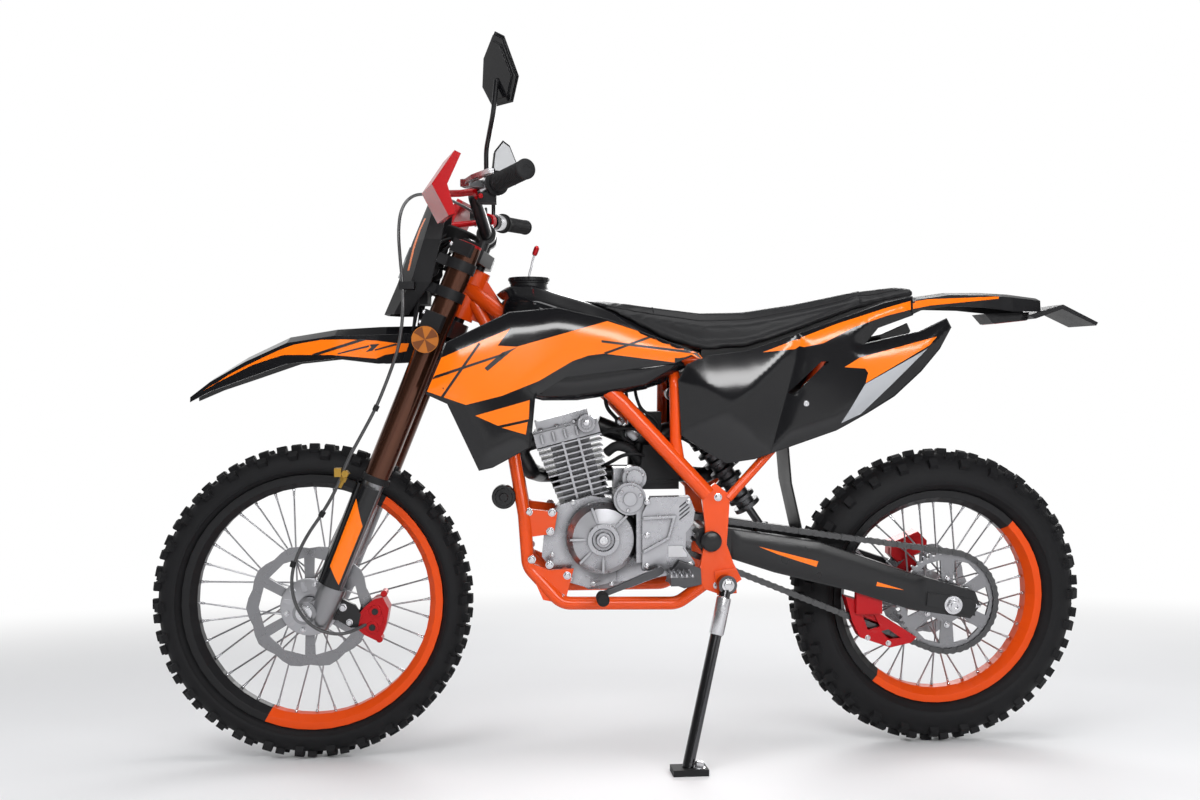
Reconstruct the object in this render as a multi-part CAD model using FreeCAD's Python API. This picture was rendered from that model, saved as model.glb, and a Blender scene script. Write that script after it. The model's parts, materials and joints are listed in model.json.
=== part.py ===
"""Dirt bike: wire wheels, upside-down fork, air-cooled single, side stand.

The bike is built upright, in millimetres: x runs to the rear from the front
axle, y to the rider's right, z up from the ground. At the end the whole bike
is leaned onto its side stand and centred over the middle of its outline.
"""
import FreeCAD, Part
import math
import os

# Wheels and stance
wheelbase = 1400.0
lean = 8.0
front_radius = 347.0
rear_radius = 337.0
front_rim_radius = 281.0
rear_rim_radius = 243.0
rim_depth = 29.0
axle_radius = 10.0
axle_bore = 6.0
bearing_gap = 0.05

# Steering
rake = 22.0
axle_lead = 33.0
clamp_offset = 28.0
fork_spread = 100.0
fork_tube_radius = 27.0
fork_leg_radius = 22.0
fork_gap = 0.3
fork_tube_foot = 314.0
fork_tube_head = 842.0
lower_clamp = (fork_tube_head - 194.0, fork_tube_head - 156.0)
upper_clamp = (fork_tube_head - 24.0, fork_tube_head + 4.0)
clamp_gap = 10.0
head_tube_span = (lower_clamp[1] + clamp_gap, upper_clamp[0] - clamp_gap)
head_tube_radius = 30.0
stem_radius = 14.0

# Frame
spar_radius = 17.0
down_tube_radius = 14.0
strut_radius = 10.0
pivot_plate_inner = 115.0
pivot_plate_thickness = 12.0
pivot_x = 859.0
pivot_z = 488.0

# Chain drive
chain_line = -78.0
chain_pitch = 15.875
rear_teeth = 44
drive_teeth = 14
sprocket_thickness = 6.0
chain_gap = 0.6
plate_thickness = 2.5
plate_half_height = 7.5
drive_x = 795.0
drive_z = 503.0

# Swingarm
arm_inner = 88.0
arm_width = 24.0

# Side stand
stand_pivot = (889.0, -148.5, 398.0)
stand_foot = (790.0, -252.0)
stand_stowed = (374.0, -38.0, 58.0)

RAKE = math.radians(rake)
LEAN = math.radians(lean)


def vec(x, y, z):
    return FreeCAD.Vector(x, y, z)


FRONT_AXLE = vec(0, 0, front_radius)
REAR_AXLE = vec(wheelbase, 0, rear_radius)
UP_FORK = vec(math.sin(RAKE), 0, math.cos(RAKE))
AHEAD = vec(-math.cos(RAKE), 0, math.sin(RAKE))
SIDEWAYS = vec(0, 1, 0)


def fork_place(along, side, ahead=0.0):
    """A point by its height along the fork, its side and how far it lies ahead of the fork's line."""
    return FRONT_AXLE + UP_FORK * along + SIDEWAYS * side + AHEAD * (ahead - axle_lead)


def axis_place(along):
    """A point on the steering axis."""
    return fork_place(along, 0, -clamp_offset)


def rod(start, end, radius):
    way = end - start
    return Part.makeCylinder(radius, way.Length, start, way)


def cone(start, end, radius_start, radius_end):
    way = end - start
    return Part.makeCone(radius_start, radius_end, way.Length, start, way)


def pipe(start, end, radius, bore):
    return rod(start, end, radius).cut(rod(start, end, bore))


def polygon(points):
    return Part.makePolygon(points + [points[0]])


def prism(points, way):
    return Part.Face(polygon(points)).extrude(way)


def plate(outline, y_low, y_high):
    """A flat plate: an outline of (x, z) corners between two y values."""
    return prism([vec(x, y_low, z) for x, z in outline], vec(0, y_high - y_low, 0))


def box(x_low, x_high, y_low, y_high, z_low, z_high):
    return Part.makeBox(x_high - x_low, y_high - y_low, z_high - z_low, vec(x_low, y_low, z_low))


def fuse(shapes):
    shapes = list(shapes)
    return shapes[0].multiFuse(shapes[1:]).removeSplitter()


def cut(shape, tools):
    return shape.cut(Part.makeCompound(list(tools)))


def mirrored(shape):
    return shape.mirror(vec(0, 0, 0), SIDEWAYS)


def closed_solid(faces):
    shell = Part.makeShell(faces)
    if Part.makeSolid(shell).Volume < 0:
        shell.reverse()
    return Part.makeSolid(shell)


def tube(points, radius, bends):
    """A round bar along straight runs joined by tangent arcs: one radius for all, or one for each corner."""
    if not isinstance(bends, list):
        bends = [bends] * (len(points) - 2)
    rim_edge = Part.Circle(points[0], points[1] - points[0], radius).toShape()
    faces = [Part.Face(Part.Wire(rim_edge))]
    last = points[0]
    for before, corner, after, bend in zip(points, points[1:], points[2:], bends):
        way_in = (corner - before).normalize()
        way_out = (after - corner).normalize()
        turn = way_in.getAngle(way_out)
        start = corner - way_in * (bend * math.tan(turn / 2))
        faces += rim_edge.extrude(start - last).Faces
        rim_edge.translate(start - last)
        inward = (way_out - way_in * way_out.dot(way_in)).normalize()
        axis = way_in.cross(way_out).normalize()
        faces += rim_edge.revolve(start + inward * bend, axis, math.degrees(turn)).Faces
        rim_edge.rotate(start + inward * bend, axis, math.degrees(turn))
        last = corner + way_out * (bend * math.tan(turn / 2))
    faces += rim_edge.extrude(points[-1] - last).Faces
    rim_edge.translate(points[-1] - last)
    faces.append(Part.Face(Part.Wire(rim_edge)))
    return closed_solid(faces)


def faceted_ring(profile, sides, centre):
    """A ring about an axle, with flat facets: profile holds its (radius, y) corners."""
    def corner(step, point):
        angle = 2 * math.pi * step / sides
        return centre + vec(point[0] * math.cos(angle), point[1], point[0] * math.sin(angle))
    faces = []
    for step in range(sides):
        for here, there in zip(profile, profile[1:] + profile[:1]):
            corners = [corner(step, here), corner(step, there), corner(step + 1, there),
                       corner(step + 1, here)]
            faces.append(Part.Face(polygon(corners)))
    return closed_solid(faces)


def skin(sections):
    """A solid through rings of points, every ring with as many points."""
    return Part.makeLoft([polygon(ring) for ring in sections], True, True)


# Tyres: the carcass is an arc from side to side, and its knobs stand in four rows
knob_height = 12.0
bead_depth = 8.0
bead_gap = 0.6


def tyre(centre, radius, half_width, bead_half_width, rim_radius, rows, pitches):
    """A knobbly tyre. Rows are (near, far) distances of the inner and the shoulder knobs from the middle."""
    crown = radius - knob_height
    widest = rim_radius + 0.3 * (crown - rim_radius)
    bead_radius = rim_radius - bead_depth + bead_gap
    flange_radius = rim_radius + bead_gap

    def carcass(y):
        share = min(1.0, abs(y) / half_width)
        return widest + (crown - widest) * math.sqrt(1 - share * share)

    def lift(y):
        slope = 0.9 * abs(y) / half_width
        return knob_height * math.cos(slope), math.copysign(knob_height * math.sin(slope), y)

    inner, shoulder = rows
    right = [inner[0], inner[1], shoulder[0], shoulder[1]]
    lines = [-half_width] + [-y for y in reversed(right)] + right + [half_width]
    low = [(carcass(y), y) for y in lines]
    low = [(bead_radius, -bead_half_width), (flange_radius, -bead_half_width)] + low
    low += [(flange_radius, bead_half_width), (bead_radius, bead_half_width)]
    high = {}
    for k, (r, y) in enumerate(low):
        rise, out = lift(y)
        high[k] = (r + rise, y + out)
    row_starts = {3: 1, 5: 0, 7: 0, 9: 1}
    steps = 2 * pitches

    def at(step, point):
        angle = 2 * math.pi * step / steps
        return centre + vec(point[0] * math.cos(angle), point[1], point[0] * math.sin(angle))

    faces = []

    def quad(a, b, c, d):
        faces.append(Part.Face(polygon([a, b, c, d])))

    for step in range(steps):
        for k in range(len(low)):
            m = (k + 1) % len(low)
            if k in row_starts and (step + row_starts[k]) % 2 == 0:
                quad(at(step, high[k]), at(step, high[m]), at(step + 1, high[m]), at(step + 1, high[k]))
                for turn in (step, step + 1):
                    quad(at(turn, low[k]), at(turn, low[m]), at(turn, high[m]), at(turn, high[k]))
                for edge in (k, m):
                    quad(at(step, low[edge]), at(step + 1, low[edge]), at(step + 1, high[edge]),
                         at(step, high[edge]))
            else:
                quad(at(step, low[k]), at(step, low[m]), at(step + 1, low[m]), at(step + 1, low[k]))
    return closed_solid(faces)


rim_sides = 48
rim_wall = 4.0


def rim(centre, radius, half_width):
    """A rim: two flanges that hold the tyre's beads, and a well between them."""
    seat = radius - bead_depth
    profile = [(radius, -half_width - rim_wall), (radius, -half_width), (seat, -half_width),
               (seat, half_width), (radius, half_width), (radius, half_width + rim_wall),
               (radius - 16, half_width + rim_wall), (radius - rim_depth, half_width * 0.45),
               (radius - rim_depth, -half_width * 0.45), (radius - 16, -half_width - rim_wall)]
    return faceted_ring(profile, rim_sides, centre)


spoke_count = 36
spoke_radius = 1.9
spoke_gap = 0.5


def prism_rod(start, end, radius, sides):
    """A thin straight bar with flat sides."""
    way = (end - start).normalize()
    across = way.cross(vec(0.13, 0.99, 0.07)).normalize()
    other = way.cross(across)
    turn = 2 * math.pi / sides
    ring = [start + across * (radius * math.cos(turn * k)) + other * (radius * math.sin(turn * k))
            for k in range(sides)]
    return prism(ring, end - start)


def spokes(centre, hub_radius, hub_half, rim_inner):
    """Crossed spokes, nine from each face of each hub flange."""
    bars = []
    for k in range(spoke_count):
        side = 1 if k % 2 else -1
        lean_way = 1 if (k // 2) % 2 else -1
        rim_angle = 2 * math.pi * k / spoke_count
        hub_angle = rim_angle + lean_way * math.radians(52)
        hub_y = side * (hub_half - 3.0)
        start = centre + vec(hub_radius * math.cos(hub_angle), hub_y, hub_radius * math.sin(hub_angle))
        reach = rim_inner * math.cos(math.pi / rim_sides) - spoke_gap
        end = centre + vec(reach * math.cos(rim_angle), side * 5.0, reach * math.sin(rim_angle))
        bars.append(prism_rod(start, end, spoke_radius, 4))
    return bars


def turned(centre, profile):
    """A turned piece about an axle: profile holds its (radius, y) corners."""
    corners = [centre + vec(r, y, 0) for r, y in profile]
    return Part.Face(polygon(corners)).revolve(centre, SIDEWAYS, 360)


def hub(centre, half, flange_radius, core_radius, rim_inner):
    bore = axle_radius + bearing_gap
    profile = [(bore, -half), (core_radius, -half), (core_radius, -half + 5), (flange_radius, -half + 5),
               (flange_radius, -half + 11), (core_radius - 6, -half + 19), (core_radius - 6, half - 19),
               (flange_radius, half - 11), (flange_radius, half - 5), (core_radius, half - 5),
               (core_radius, half), (bore, half)]
    return fuse([turned(centre, profile)] + spokes(centre, flange_radius - 5, half - 5, rim_inner))


def wavy_disc(centre, y_low, y_high, radius, inner, waves, hole_radius):
    """A brake disc with a wavy edge, a ring of slots and spider arms to the hub."""
    outline = []
    steps = waves * 4
    for k in range(steps):
        angle = 2 * math.pi * k / steps
        reach = radius - (0, 3.5, 8.0, 3.5)[k % 4]
        outline.append((centre.x + reach * math.cos(angle), centre.z + reach * math.sin(angle)))
    disc = plate(outline, y_low, y_high)
    windows = []
    for k in range(6):
        first = 2 * math.pi * k / 6
        wide = math.radians(24)
        far = radius - 28
        windows.append(plate([(centre.x + r * math.cos(first + t * wide),
                               centre.z + r * math.sin(first + t * wide))
                              for r, t in ((inner, -0.8), (far, -1), (far + 2, 0), (far, 1), (inner, 0.8))],
                             y_low - 1, y_high + 1))
    hole = rod(vec(centre.x, y_low - 1, centre.z), vec(centre.x, y_high + 1, centre.z), hole_radius)
    return cut(disc, windows + [hole])


def pitch_radius(teeth):
    return chain_pitch / (2 * math.sin(math.pi / teeth))


def sprocket(centre, teeth, bore, windows):
    half = sprocket_thickness / 2
    tip = pitch_radius(teeth) + 4.0
    root = pitch_radius(teeth) - 4.6
    outline = []
    for k in range(teeth):
        for r, share in ((root, -0.18), (root, 0.18), (tip, 0.42), (tip, 0.58)):
            angle = 2 * math.pi * (k + share) / teeth
            outline.append((centre.x + r * math.cos(angle), centre.z + r * math.sin(angle)))
    wheel = plate(outline, chain_line - half, chain_line + half)
    tools = [rod(vec(centre.x, chain_line - half - 1, centre.z),
                 vec(centre.x, chain_line + half + 1, centre.z), bore)]
    for k in range(windows):
        middle = 2 * math.pi * k / windows
        wide = math.radians(20)
        far = root - 12
        near = bore + 16
        tools.append(plate([(centre.x + r * math.cos(middle + t * wide),
                             centre.z + r * math.sin(middle + t * wide))
                            for r, t in ((near, -0.7), (far, -1), (far + 3, 0), (far, 1), (near, 0.7))],
                           chain_line - half - 1, chain_line + half + 1))
    return cut(wheel, tools)


nodes = {}

# Front wheel
front_half = 42.0
front_hub_half = 55.0
disc_line = 62.0
disc_half = 1.75
front_disc_radius = 134.0
rear_disc_radius = 110.0
nodes["front_tyre"] = tyre(FRONT_AXLE, front_radius, front_half, 21.0, front_rim_radius,
                           ((3.0, 18.0), (25.0, 36.0)), 25)
nodes["front_rim"] = rim(FRONT_AXLE, front_rim_radius, 21.3)
nodes["front_hub"] = hub(FRONT_AXLE, front_hub_half, 38.0, 28.0, front_rim_radius - rim_depth)
nodes["front_disc"] = wavy_disc(FRONT_AXLE, -disc_line - disc_half, -disc_line + disc_half,
                                front_disc_radius, 50.0, 10, 22.0)

# Rear wheel
rear_half = 55.0
rear_hub_half = 58.0
nodes["rear_tyre"] = tyre(REAR_AXLE, rear_radius, rear_half, 28.0, rear_rim_radius,
                          ((4.0, 24.0), (32.0, 47.0)), 24)
nodes["rear_rim"] = rim(REAR_AXLE, rear_rim_radius, 28.3)
nodes["rear_hub"] = hub(REAR_AXLE, rear_hub_half, 46.0, 34.0, rear_rim_radius - rim_depth)
nodes["rear_disc"] = wavy_disc(REAR_AXLE, disc_line - disc_half, disc_line + disc_half, rear_disc_radius,
                               48.0, 10, 26.0)
nodes["rear_sprocket"] = sprocket(REAR_AXLE, rear_teeth, 30.0, 6)

# Carriers that join the discs and the sprocket to their hubs
front_carrier = turned(FRONT_AXLE, [(axle_radius + bearing_gap, -disc_line - disc_half),
                                    (22.0, -disc_line - disc_half), (22.0, -disc_line + disc_half),
                                    (26.0, -disc_line + disc_half), (26.0, -front_hub_half),
                                    (axle_radius + bearing_gap, -front_hub_half)])
nodes["front_hub"] = fuse([nodes["front_hub"], front_carrier])
rear_carrier_right = turned(REAR_AXLE, [(axle_radius + bearing_gap, disc_line + disc_half),
                                        (26.0, disc_line + disc_half), (26.0, disc_line - disc_half),
                                        (32.0, disc_line - disc_half), (32.0, rear_hub_half),
                                        (axle_radius + bearing_gap, rear_hub_half)])
sprocket_half = sprocket_thickness / 2
rear_carrier_left = turned(REAR_AXLE, [(axle_radius + bearing_gap, chain_line - sprocket_half),
                                       (30.0, chain_line - sprocket_half), (30.0, chain_line + sprocket_half),
                                       (44.0, chain_line + sprocket_half), (44.0, -rear_hub_half),
                                       (axle_radius + bearing_gap, -rear_hub_half)])
nodes["rear_hub"] = fuse([nodes["rear_hub"], rear_carrier_right, rear_carrier_left])


def both_sides(make):
    """The left-hand solid and its mirror image, as one node."""
    left = make(-1)
    return Part.makeCompound([left, mirrored(left)])


# Fork
guard_radius = 36.0


def fork_tube(side):
    outer = rod(fork_place(fork_tube_foot, side * fork_spread),
                fork_place(fork_tube_head, side * fork_spread), fork_tube_radius)
    bore = rod(fork_place(fork_tube_foot - 1, side * fork_spread),
               fork_place(fork_tube_foot + 70, side * fork_spread), fork_leg_radius + fork_gap)
    return outer.cut(bore)


def fork_leg(side):
    y = side * fork_spread
    leg = rod(fork_place(10, y), fork_place(fork_tube_foot + 60, y), fork_leg_radius)
    foot = cone(fork_place(-22, y), fork_place(60, y), 24.0, 29.0)
    lug = rod(FRONT_AXLE + SIDEWAYS * (y - 24), FRONT_AXLE + SIDEWAYS * (y + 24), 24.0)
    web = prism([fork_place(-20, y - 16, 0), fork_place(-20, y - 16, axle_lead),
                 fork_place(20, y - 16, axle_lead), fork_place(58, y - 16, 0)], vec(0, 32, 0))
    collar = rod(fork_place(60, y), fork_place(70, y), 29.0)
    body = fuse([leg, foot, lug, web, collar])
    hole = rod(FRONT_AXLE + SIDEWAYS * (y - 60), FRONT_AXLE + SIDEWAYS * (y + 60), axle_radius)
    return body.cut(hole)


def fork_guard(side):
    y = side * fork_spread
    shell = pipe(fork_place(72, y), fork_place(296, y), guard_radius, guard_radius - 4)
    keep = prism([fork_place(71, y + side * 40, -22), fork_place(71, y + side * 40, 40),
                  fork_place(71, y - side * 28, 40), fork_place(71, y - side * 28, 8)], UP_FORK * 226)
    foot = pipe(fork_place(74, y), fork_place(86, y), guard_radius - 3, 22.0).common(keep)
    return shell.common(keep).fuse(foot)


nodes["fork_tubes"] = both_sides(fork_tube)
nodes["fork_legs"] = both_sides(fork_leg)
nodes["fork_guards"] = both_sides(fork_guard)

front_axle_reach = fork_spread + 28.0
nodes["front_axle"] = pipe(FRONT_AXLE - SIDEWAYS * front_axle_reach, FRONT_AXLE + SIDEWAYS * front_axle_reach,
                           axle_radius, axle_bore)


def clamp(span, reach_back):
    """A fork clamp: an arm across both tubes and round the steering stem."""
    low, high = span
    rise = UP_FORK * (high - low)
    outline = []
    for side, ahead in ((-1.32, -8), (-1.25, 34), (-0.7, 38), (-0.3, 18), (0.3, 18), (0.7, 38), (1.25, 34),
                        (1.32, -8), (0.95, -32), (0.24, -clamp_offset - reach_back),
                        (-0.24, -clamp_offset - reach_back), (-0.95, -32)):
        outline.append(fork_place(low, side * fork_spread, ahead))
    body = prism(outline, rise)
    tools = [rod(fork_place(low - 1, s * fork_spread), fork_place(high + 1, s * fork_spread),
                 fork_tube_radius) for s in (-1, 1)]
    return cut(body, tools)


stem = rod(axis_place(lower_clamp[1] - 1), axis_place(upper_clamp[0] + 1), stem_radius)

# Handlebar
bar_radius = 13.0
bar_centre = fork_place(upper_clamp[1] + 38, 0, -20)
grip_in = bar_centre + vec(30, -292, 70)
grip_out = bar_centre + vec(84, -405, 76)
grip_way = (grip_out - grip_in).normalize()
bar_knee = grip_in - grip_way * 118
left_bar = tube([bar_centre, vec(bar_centre.x, -70, bar_centre.z), bar_knee, grip_out], bar_radius, 45.0)
nodes["handlebar"] = fuse([left_bar, mirrored(left_bar)])
riser_half = 45.0


def riser(side):
    foot = fork_place(upper_clamp[1], side * riser_half, -20)
    top = vec(bar_centre.x, side * riser_half, bar_centre.z)
    post = rod(foot, top, 14.0)
    cap = rod(vec(bar_centre.x, side * riser_half - 13, bar_centre.z),
              vec(bar_centre.x, side * riser_half + 13, bar_centre.z), 21.0)
    hole = rod(vec(bar_centre.x, side * riser_half - 14, bar_centre.z),
               vec(bar_centre.x, side * riser_half + 14, bar_centre.z), bar_radius)
    return post.fuse(cap).cut(hole)


nodes["fork_clamps"] = fuse([clamp(lower_clamp, 26), clamp(upper_clamp, 26), stem, riser(-1), riser(1)])


def grip(side):
    sleeve = rod(grip_in, grip_out + grip_way * 4, 17.0)
    flange = rod(grip_in - grip_way * 5, grip_in, 24.0)
    hole = rod(grip_in - grip_way * 6, grip_out + grip_way * 0.5, bar_radius)
    return sleeve.fuse(flange).cut(hole)


nodes["grips"] = both_sides(grip)


def lever(side):
    """A perch clamped on the bar, and its lever ahead of the grip."""
    at = grip_in - grip_way * 30
    perch = rod(at - grip_way * 14, at + grip_way * 14, 19.0)
    arm = prism([at + vec(-4, 0, -7), at + vec(-50, -8, -7), at + vec(-58, -30, -7), at + vec(-40, -40, -7),
                 at + vec(-4, -14, -7)], vec(0, 0, 14))
    blade = prism([at + vec(-56, -22, -4), at + vec(-44, -30, -4), at + vec(-20, -90, -4),
                   at + vec(10, -158, -4), at + vec(2, -162, -4), at + vec(-34, -92, -4)], vec(0, 0, 9))
    hole = rod(at - grip_way * 20, at + grip_way * 15, bar_radius)
    return fuse([perch, arm, blade]).cut(hole)


nodes["levers"] = both_sides(lever)


def mirror_head(drop):
    """A left mirror: its stem rises from the lever's perch to an oval head, lower by a drop."""
    foot = grip_in - grip_way * 52 + vec(0, 0, 14)
    base = rod(grip_in - grip_way * 60, grip_in - grip_way * 44, 18.0)
    hole = rod(grip_in - grip_way * 66, grip_in - grip_way * 40, bar_radius)
    low = bar_centre - vec(0, 0, drop)
    stem_top = low + vec(24, -326, 228)
    stalk = tube([foot, foot + vec(0, -4, 60), stem_top + vec(0, 6, -30), stem_top + vec(6, 0, 30)],
                 5.0, 14.0)
    face = [low + vec(x, y, z) for x, y, z in ((22, -372, 217), (2, -368, 253), (1, -330, 299),
                                               (22, -290, 335), (44, -285, 327), (70, -300, 257),
                                               (64, -340, 221))]
    middle = low + vec(34, -326, 273)
    normal = (face[4] - face[0]).cross(face[5] - face[1]).normalize()
    flat = [p - normal * normal.dot(p - middle) for p in face]
    plate_head = prism([p - normal * 7 for p in flat], normal * 14)
    return fuse([base.cut(hole), stalk, plate_head])


right_mirror_drop = 50.0
nodes["mirrors"] = Part.makeCompound([mirror_head(0.0), mirrored(mirror_head(right_mirror_drop))])


def hand_guard(side):
    outer = [(-48, 121), (-91, 58), (-60, -1), (-46, 3), (-62, 58), (-36, 115)]
    shield = prism([bar_centre + vec(x, -345, z) for x, z in outer], vec(-30, 118, 0))
    stay = tube([grip_in - grip_way * 78, grip_in - grip_way * 78 + vec(-42, 0, -6),
                 bar_centre + vec(-110, -238, 56)], 7.0, 12.0)
    base = rod(grip_in - grip_way * 86, grip_in - grip_way * 70, 18.0)
    hole = rod(grip_in - grip_way * 90, grip_in - grip_way * 66, bar_radius)
    return cut(fuse([shield, stay, base]), [hole, left_bar])


nodes["hand_guards"] = both_sides(hand_guard)

# Front brake hose, from the right lever's perch in front of the mask and down the left fork leg
hose_radius = 3.5
hose_points = [vec(365, 270, 1216), vec(345, 236, 1232), vec(322, 200, 1243), vec(294, 150, 1250),
               vec(273, 90, 1251), vec(246, 35, 1247), vec(219, -20, 1235), vec(200, -62, 1201),
               vec(197, -92, 1150), vec(202, -108, 1092), vec(209, -116, 1028), vec(209, -122, 966),
               vec(201, -126, 903), vec(178, -128, 838), vec(153, -130, 776), vec(124, -132, 722),
               vec(97, -134, 673), vec(71, -136, 607), vec(42, -138, 557), vec(9, -140, 510),
               vec(-17, -142, 454), vec(-22, -142, 402), vec(-8, -141, 354), vec(24, -136, 316),
               vec(66, -124, 300), vec(98, -108, 302), vec(122, -88, 312)]


def cord_bends(points):
    """The largest arc that the two runs at each corner allow."""
    bends = []
    for before, corner, after in zip(points, points[1:], points[2:]):
        run_in = corner - before
        run_out = after - corner
        half_turn = run_in.getAngle(run_out) / 2
        bends.append(0.45 * min(run_in.Length, run_out.Length) / math.tan(half_turn))
    return bends


hose_bends = cord_bends(hose_points)
hose = tube(hose_points, hose_radius, hose_bends)
hose_length = hose.Volume / (math.pi * hose_radius ** 2)
# Headlight mask on the fork tubes
mask_wall = 4.0


FORK_HEAD = fork_place(fork_tube_head, 0)


def mask_ring(ahead, rise, half, back, depth):
    """One level of the mask: an open channel that wraps back to the fork tubes."""
    x = FORK_HEAD.x - ahead
    z = FORK_HEAD.z + rise
    out = [vec(x, -half * 0.45, z), vec(x, half * 0.45, z), vec(x + depth * 0.45, half, z),
           vec(x + depth, half * back, z)]
    inner = [vec(x + depth, half * back - mask_wall, z),
             vec(x + depth * 0.45 + mask_wall, half - mask_wall, z),
             vec(x + mask_wall, half * 0.42, z), vec(x + mask_wall, -half * 0.42, z),
             vec(x + depth * 0.45 + mask_wall, -half + mask_wall, z),
             vec(x + depth, -half * back + mask_wall, z)]
    return out + inner + [vec(x + depth, -half * back, z), vec(x + depth * 0.45, -half, z)]


mask_shell = skin([mask_ring(187, -141, 72, 0.9, 56), mask_ring(157, -75, 94, 1.0, 76),
                   mask_ring(124, 15, 104, 1.0, 66), mask_ring(89, 102, 90, 0.9, 44)])
strap_height = 22.0


def mask_strap(below, ahead, mask_y):
    """A rubber strap round the left fork tube, with its tongue on the mask's edge."""
    low = fork_place(fork_tube_head - below, -fork_spread)
    edge = fork_place(fork_tube_head - below, -mask_y, ahead)
    rise = UP_FORK * strap_height
    band = rod(low, low + rise, fork_tube_radius + 4)
    wide = vec(0, 5, 0)
    tongue = prism([edge - wide, edge + wide, low + wide, low - wide], rise)
    return fuse([band, tongue]).cut(nodes["fork_tubes"])


mask_middle = 38.0
LAMP_AT = FORK_HEAD + vec(-140, 0, -29)
lamp_up = vec(34, 0, 90).normalize()
lamp_out = vec(-90, 0, 34).normalize()


def lamp_prism(grow, front, back):
    """The headlight's outline, larger by a margin, between two depths."""
    corners = [(-30, -36), (30, -36), (35, 8), (26, 36), (-26, 36), (-35, 8)]
    ring = [LAMP_AT + SIDEWAYS * (a * grow) + lamp_up * (b * grow) + lamp_out * front for a, b in corners]
    return prism(ring, lamp_out * (back - front))


left_side = box(FORK_HEAD.x - 300, FORK_HEAD.x + 100, -200, -mask_middle, FORK_HEAD.z - 200,
                FORK_HEAD.z + 200)
mask_wing = fuse([mask_shell.common(left_side), mask_strap(120, 54, 80), mask_strap(56, 53, 97)])
mask_front = cut(mask_shell, [left_side, mirrored(left_side), lamp_prism(1.02, 30, -40)])
hose_clip = box(201, 232, -121, -90, 1024, 1040)
clipped_wing = fuse([mask_wing, hose_clip]).cut(hose)
nodes["headlight_mask"] = Part.makeCompound([mask_front, clipped_wing, mirrored(mask_wing)])
nodes["headlight"] = lamp_prism(1.0, 5, -22)


def reflector(side):
    """A round reflector on a short post, on the outside of a fork tube."""
    at = FORK_HEAD + vec(-90, 0, -197)
    post = rod(at + SIDEWAYS * (side * 112), at + SIDEWAYS * (side * 134), 12.0)
    lens = rod(at + SIDEWAYS * (side * 133), at + SIDEWAYS * (side * 141), 28.0)
    return cut(fuse([post, lens]), [nodes["fork_tubes"]])


nodes["fork_reflectors"] = both_sides(reflector)

# Front fender
fender_wall = 3.5


def fender_ring(x, z_top, z_side, half, wall):
    """One station of a fender: an arch with two skirts."""
    mid = z_top - (z_top - z_side) * 0.22
    out = [vec(x, -half, z_side), vec(x, -half * 0.93, mid), vec(x, -half * 0.45, z_top),
           vec(x, half * 0.45, z_top), vec(x, half * 0.93, mid), vec(x, half, z_side)]
    inner = [vec(x, half - wall, z_side), vec(x, half * 0.93 - wall, mid - wall),
             vec(x, half * 0.45, z_top - wall), vec(x, -half * 0.45, z_top - wall),
             vec(x, -half * 0.93 + wall, mid - wall), vec(x, -half + wall, z_side)]
    return out + inner


def clamp_floor(x):
    """The height of the lower clamp's under side."""
    foot = fork_place(lower_clamp[0], 0)
    return foot.z - (x - foot.x) * math.tan(RAKE)


nodes["front_fender"] = skin([fender_ring(x, top, side, half, fender_wall)
                              for x, top, side, half in ((-254, 800, 786, 34), (-206, 836, 809, 56),
                                                         (-130, 882, 836, 72), (-40, 925, 868, 80),
                                                         (60, 942, 879, 80), (150, 948, 868, 70),
                                                         (236, clamp_floor(236) - 0.4, 872, 68),
                                                         (310, clamp_floor(310) - 0.4, 884, 60))])

# Front brake
caliper_inner = 15.0
caliper_outer = 28.0
pad_gap = 2.25


def caliper(centre, side, reach, angle):
    """A brake caliper over the edge of the disc on one side of a wheel."""
    turn = math.radians(angle)
    out = vec(math.cos(turn), 0, math.sin(turn))
    along = vec(-math.sin(turn), 0, math.cos(turn))
    corners = [(-26, -38), (-26, 38), (-6, 46), (22, 34), (22, -34), (-6, -46)]
    near = side * (disc_line - caliper_inner)
    ring = [centre + out * (reach + a) + along * b + vec(0, near, 0) for a, b in corners]
    body = prism(ring, vec(0, side * (caliper_inner + caliper_outer), 0))
    slot = [centre + out * (reach + a) + along * b + vec(0, side * disc_line - disc_half - pad_gap, 0)
            for a, b in ((-40, -60), (-40, 60), (9, 60), (9, -60))]
    return body.cut(prism(slot, vec(0, 2 * (disc_half + pad_gap), 0)))


front_bracket = box(40, 116, -90, -80, front_radius - 22, front_radius + 22)
nodes["front_caliper"] = fuse([caliper(FRONT_AXLE, -1, front_disc_radius + 2, -2.0),
                               front_bracket]).cut(nodes["fork_legs"])

nodes["brake_hose"] = cut(hose, [nodes["front_caliper"], nodes["levers"]])


# Frame
def behind_axis(along, back):
    """A point on the middle plane, by its height along the fork and its distance behind the steering axis."""
    return fork_place(along, 0, -clamp_offset - back)


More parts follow.
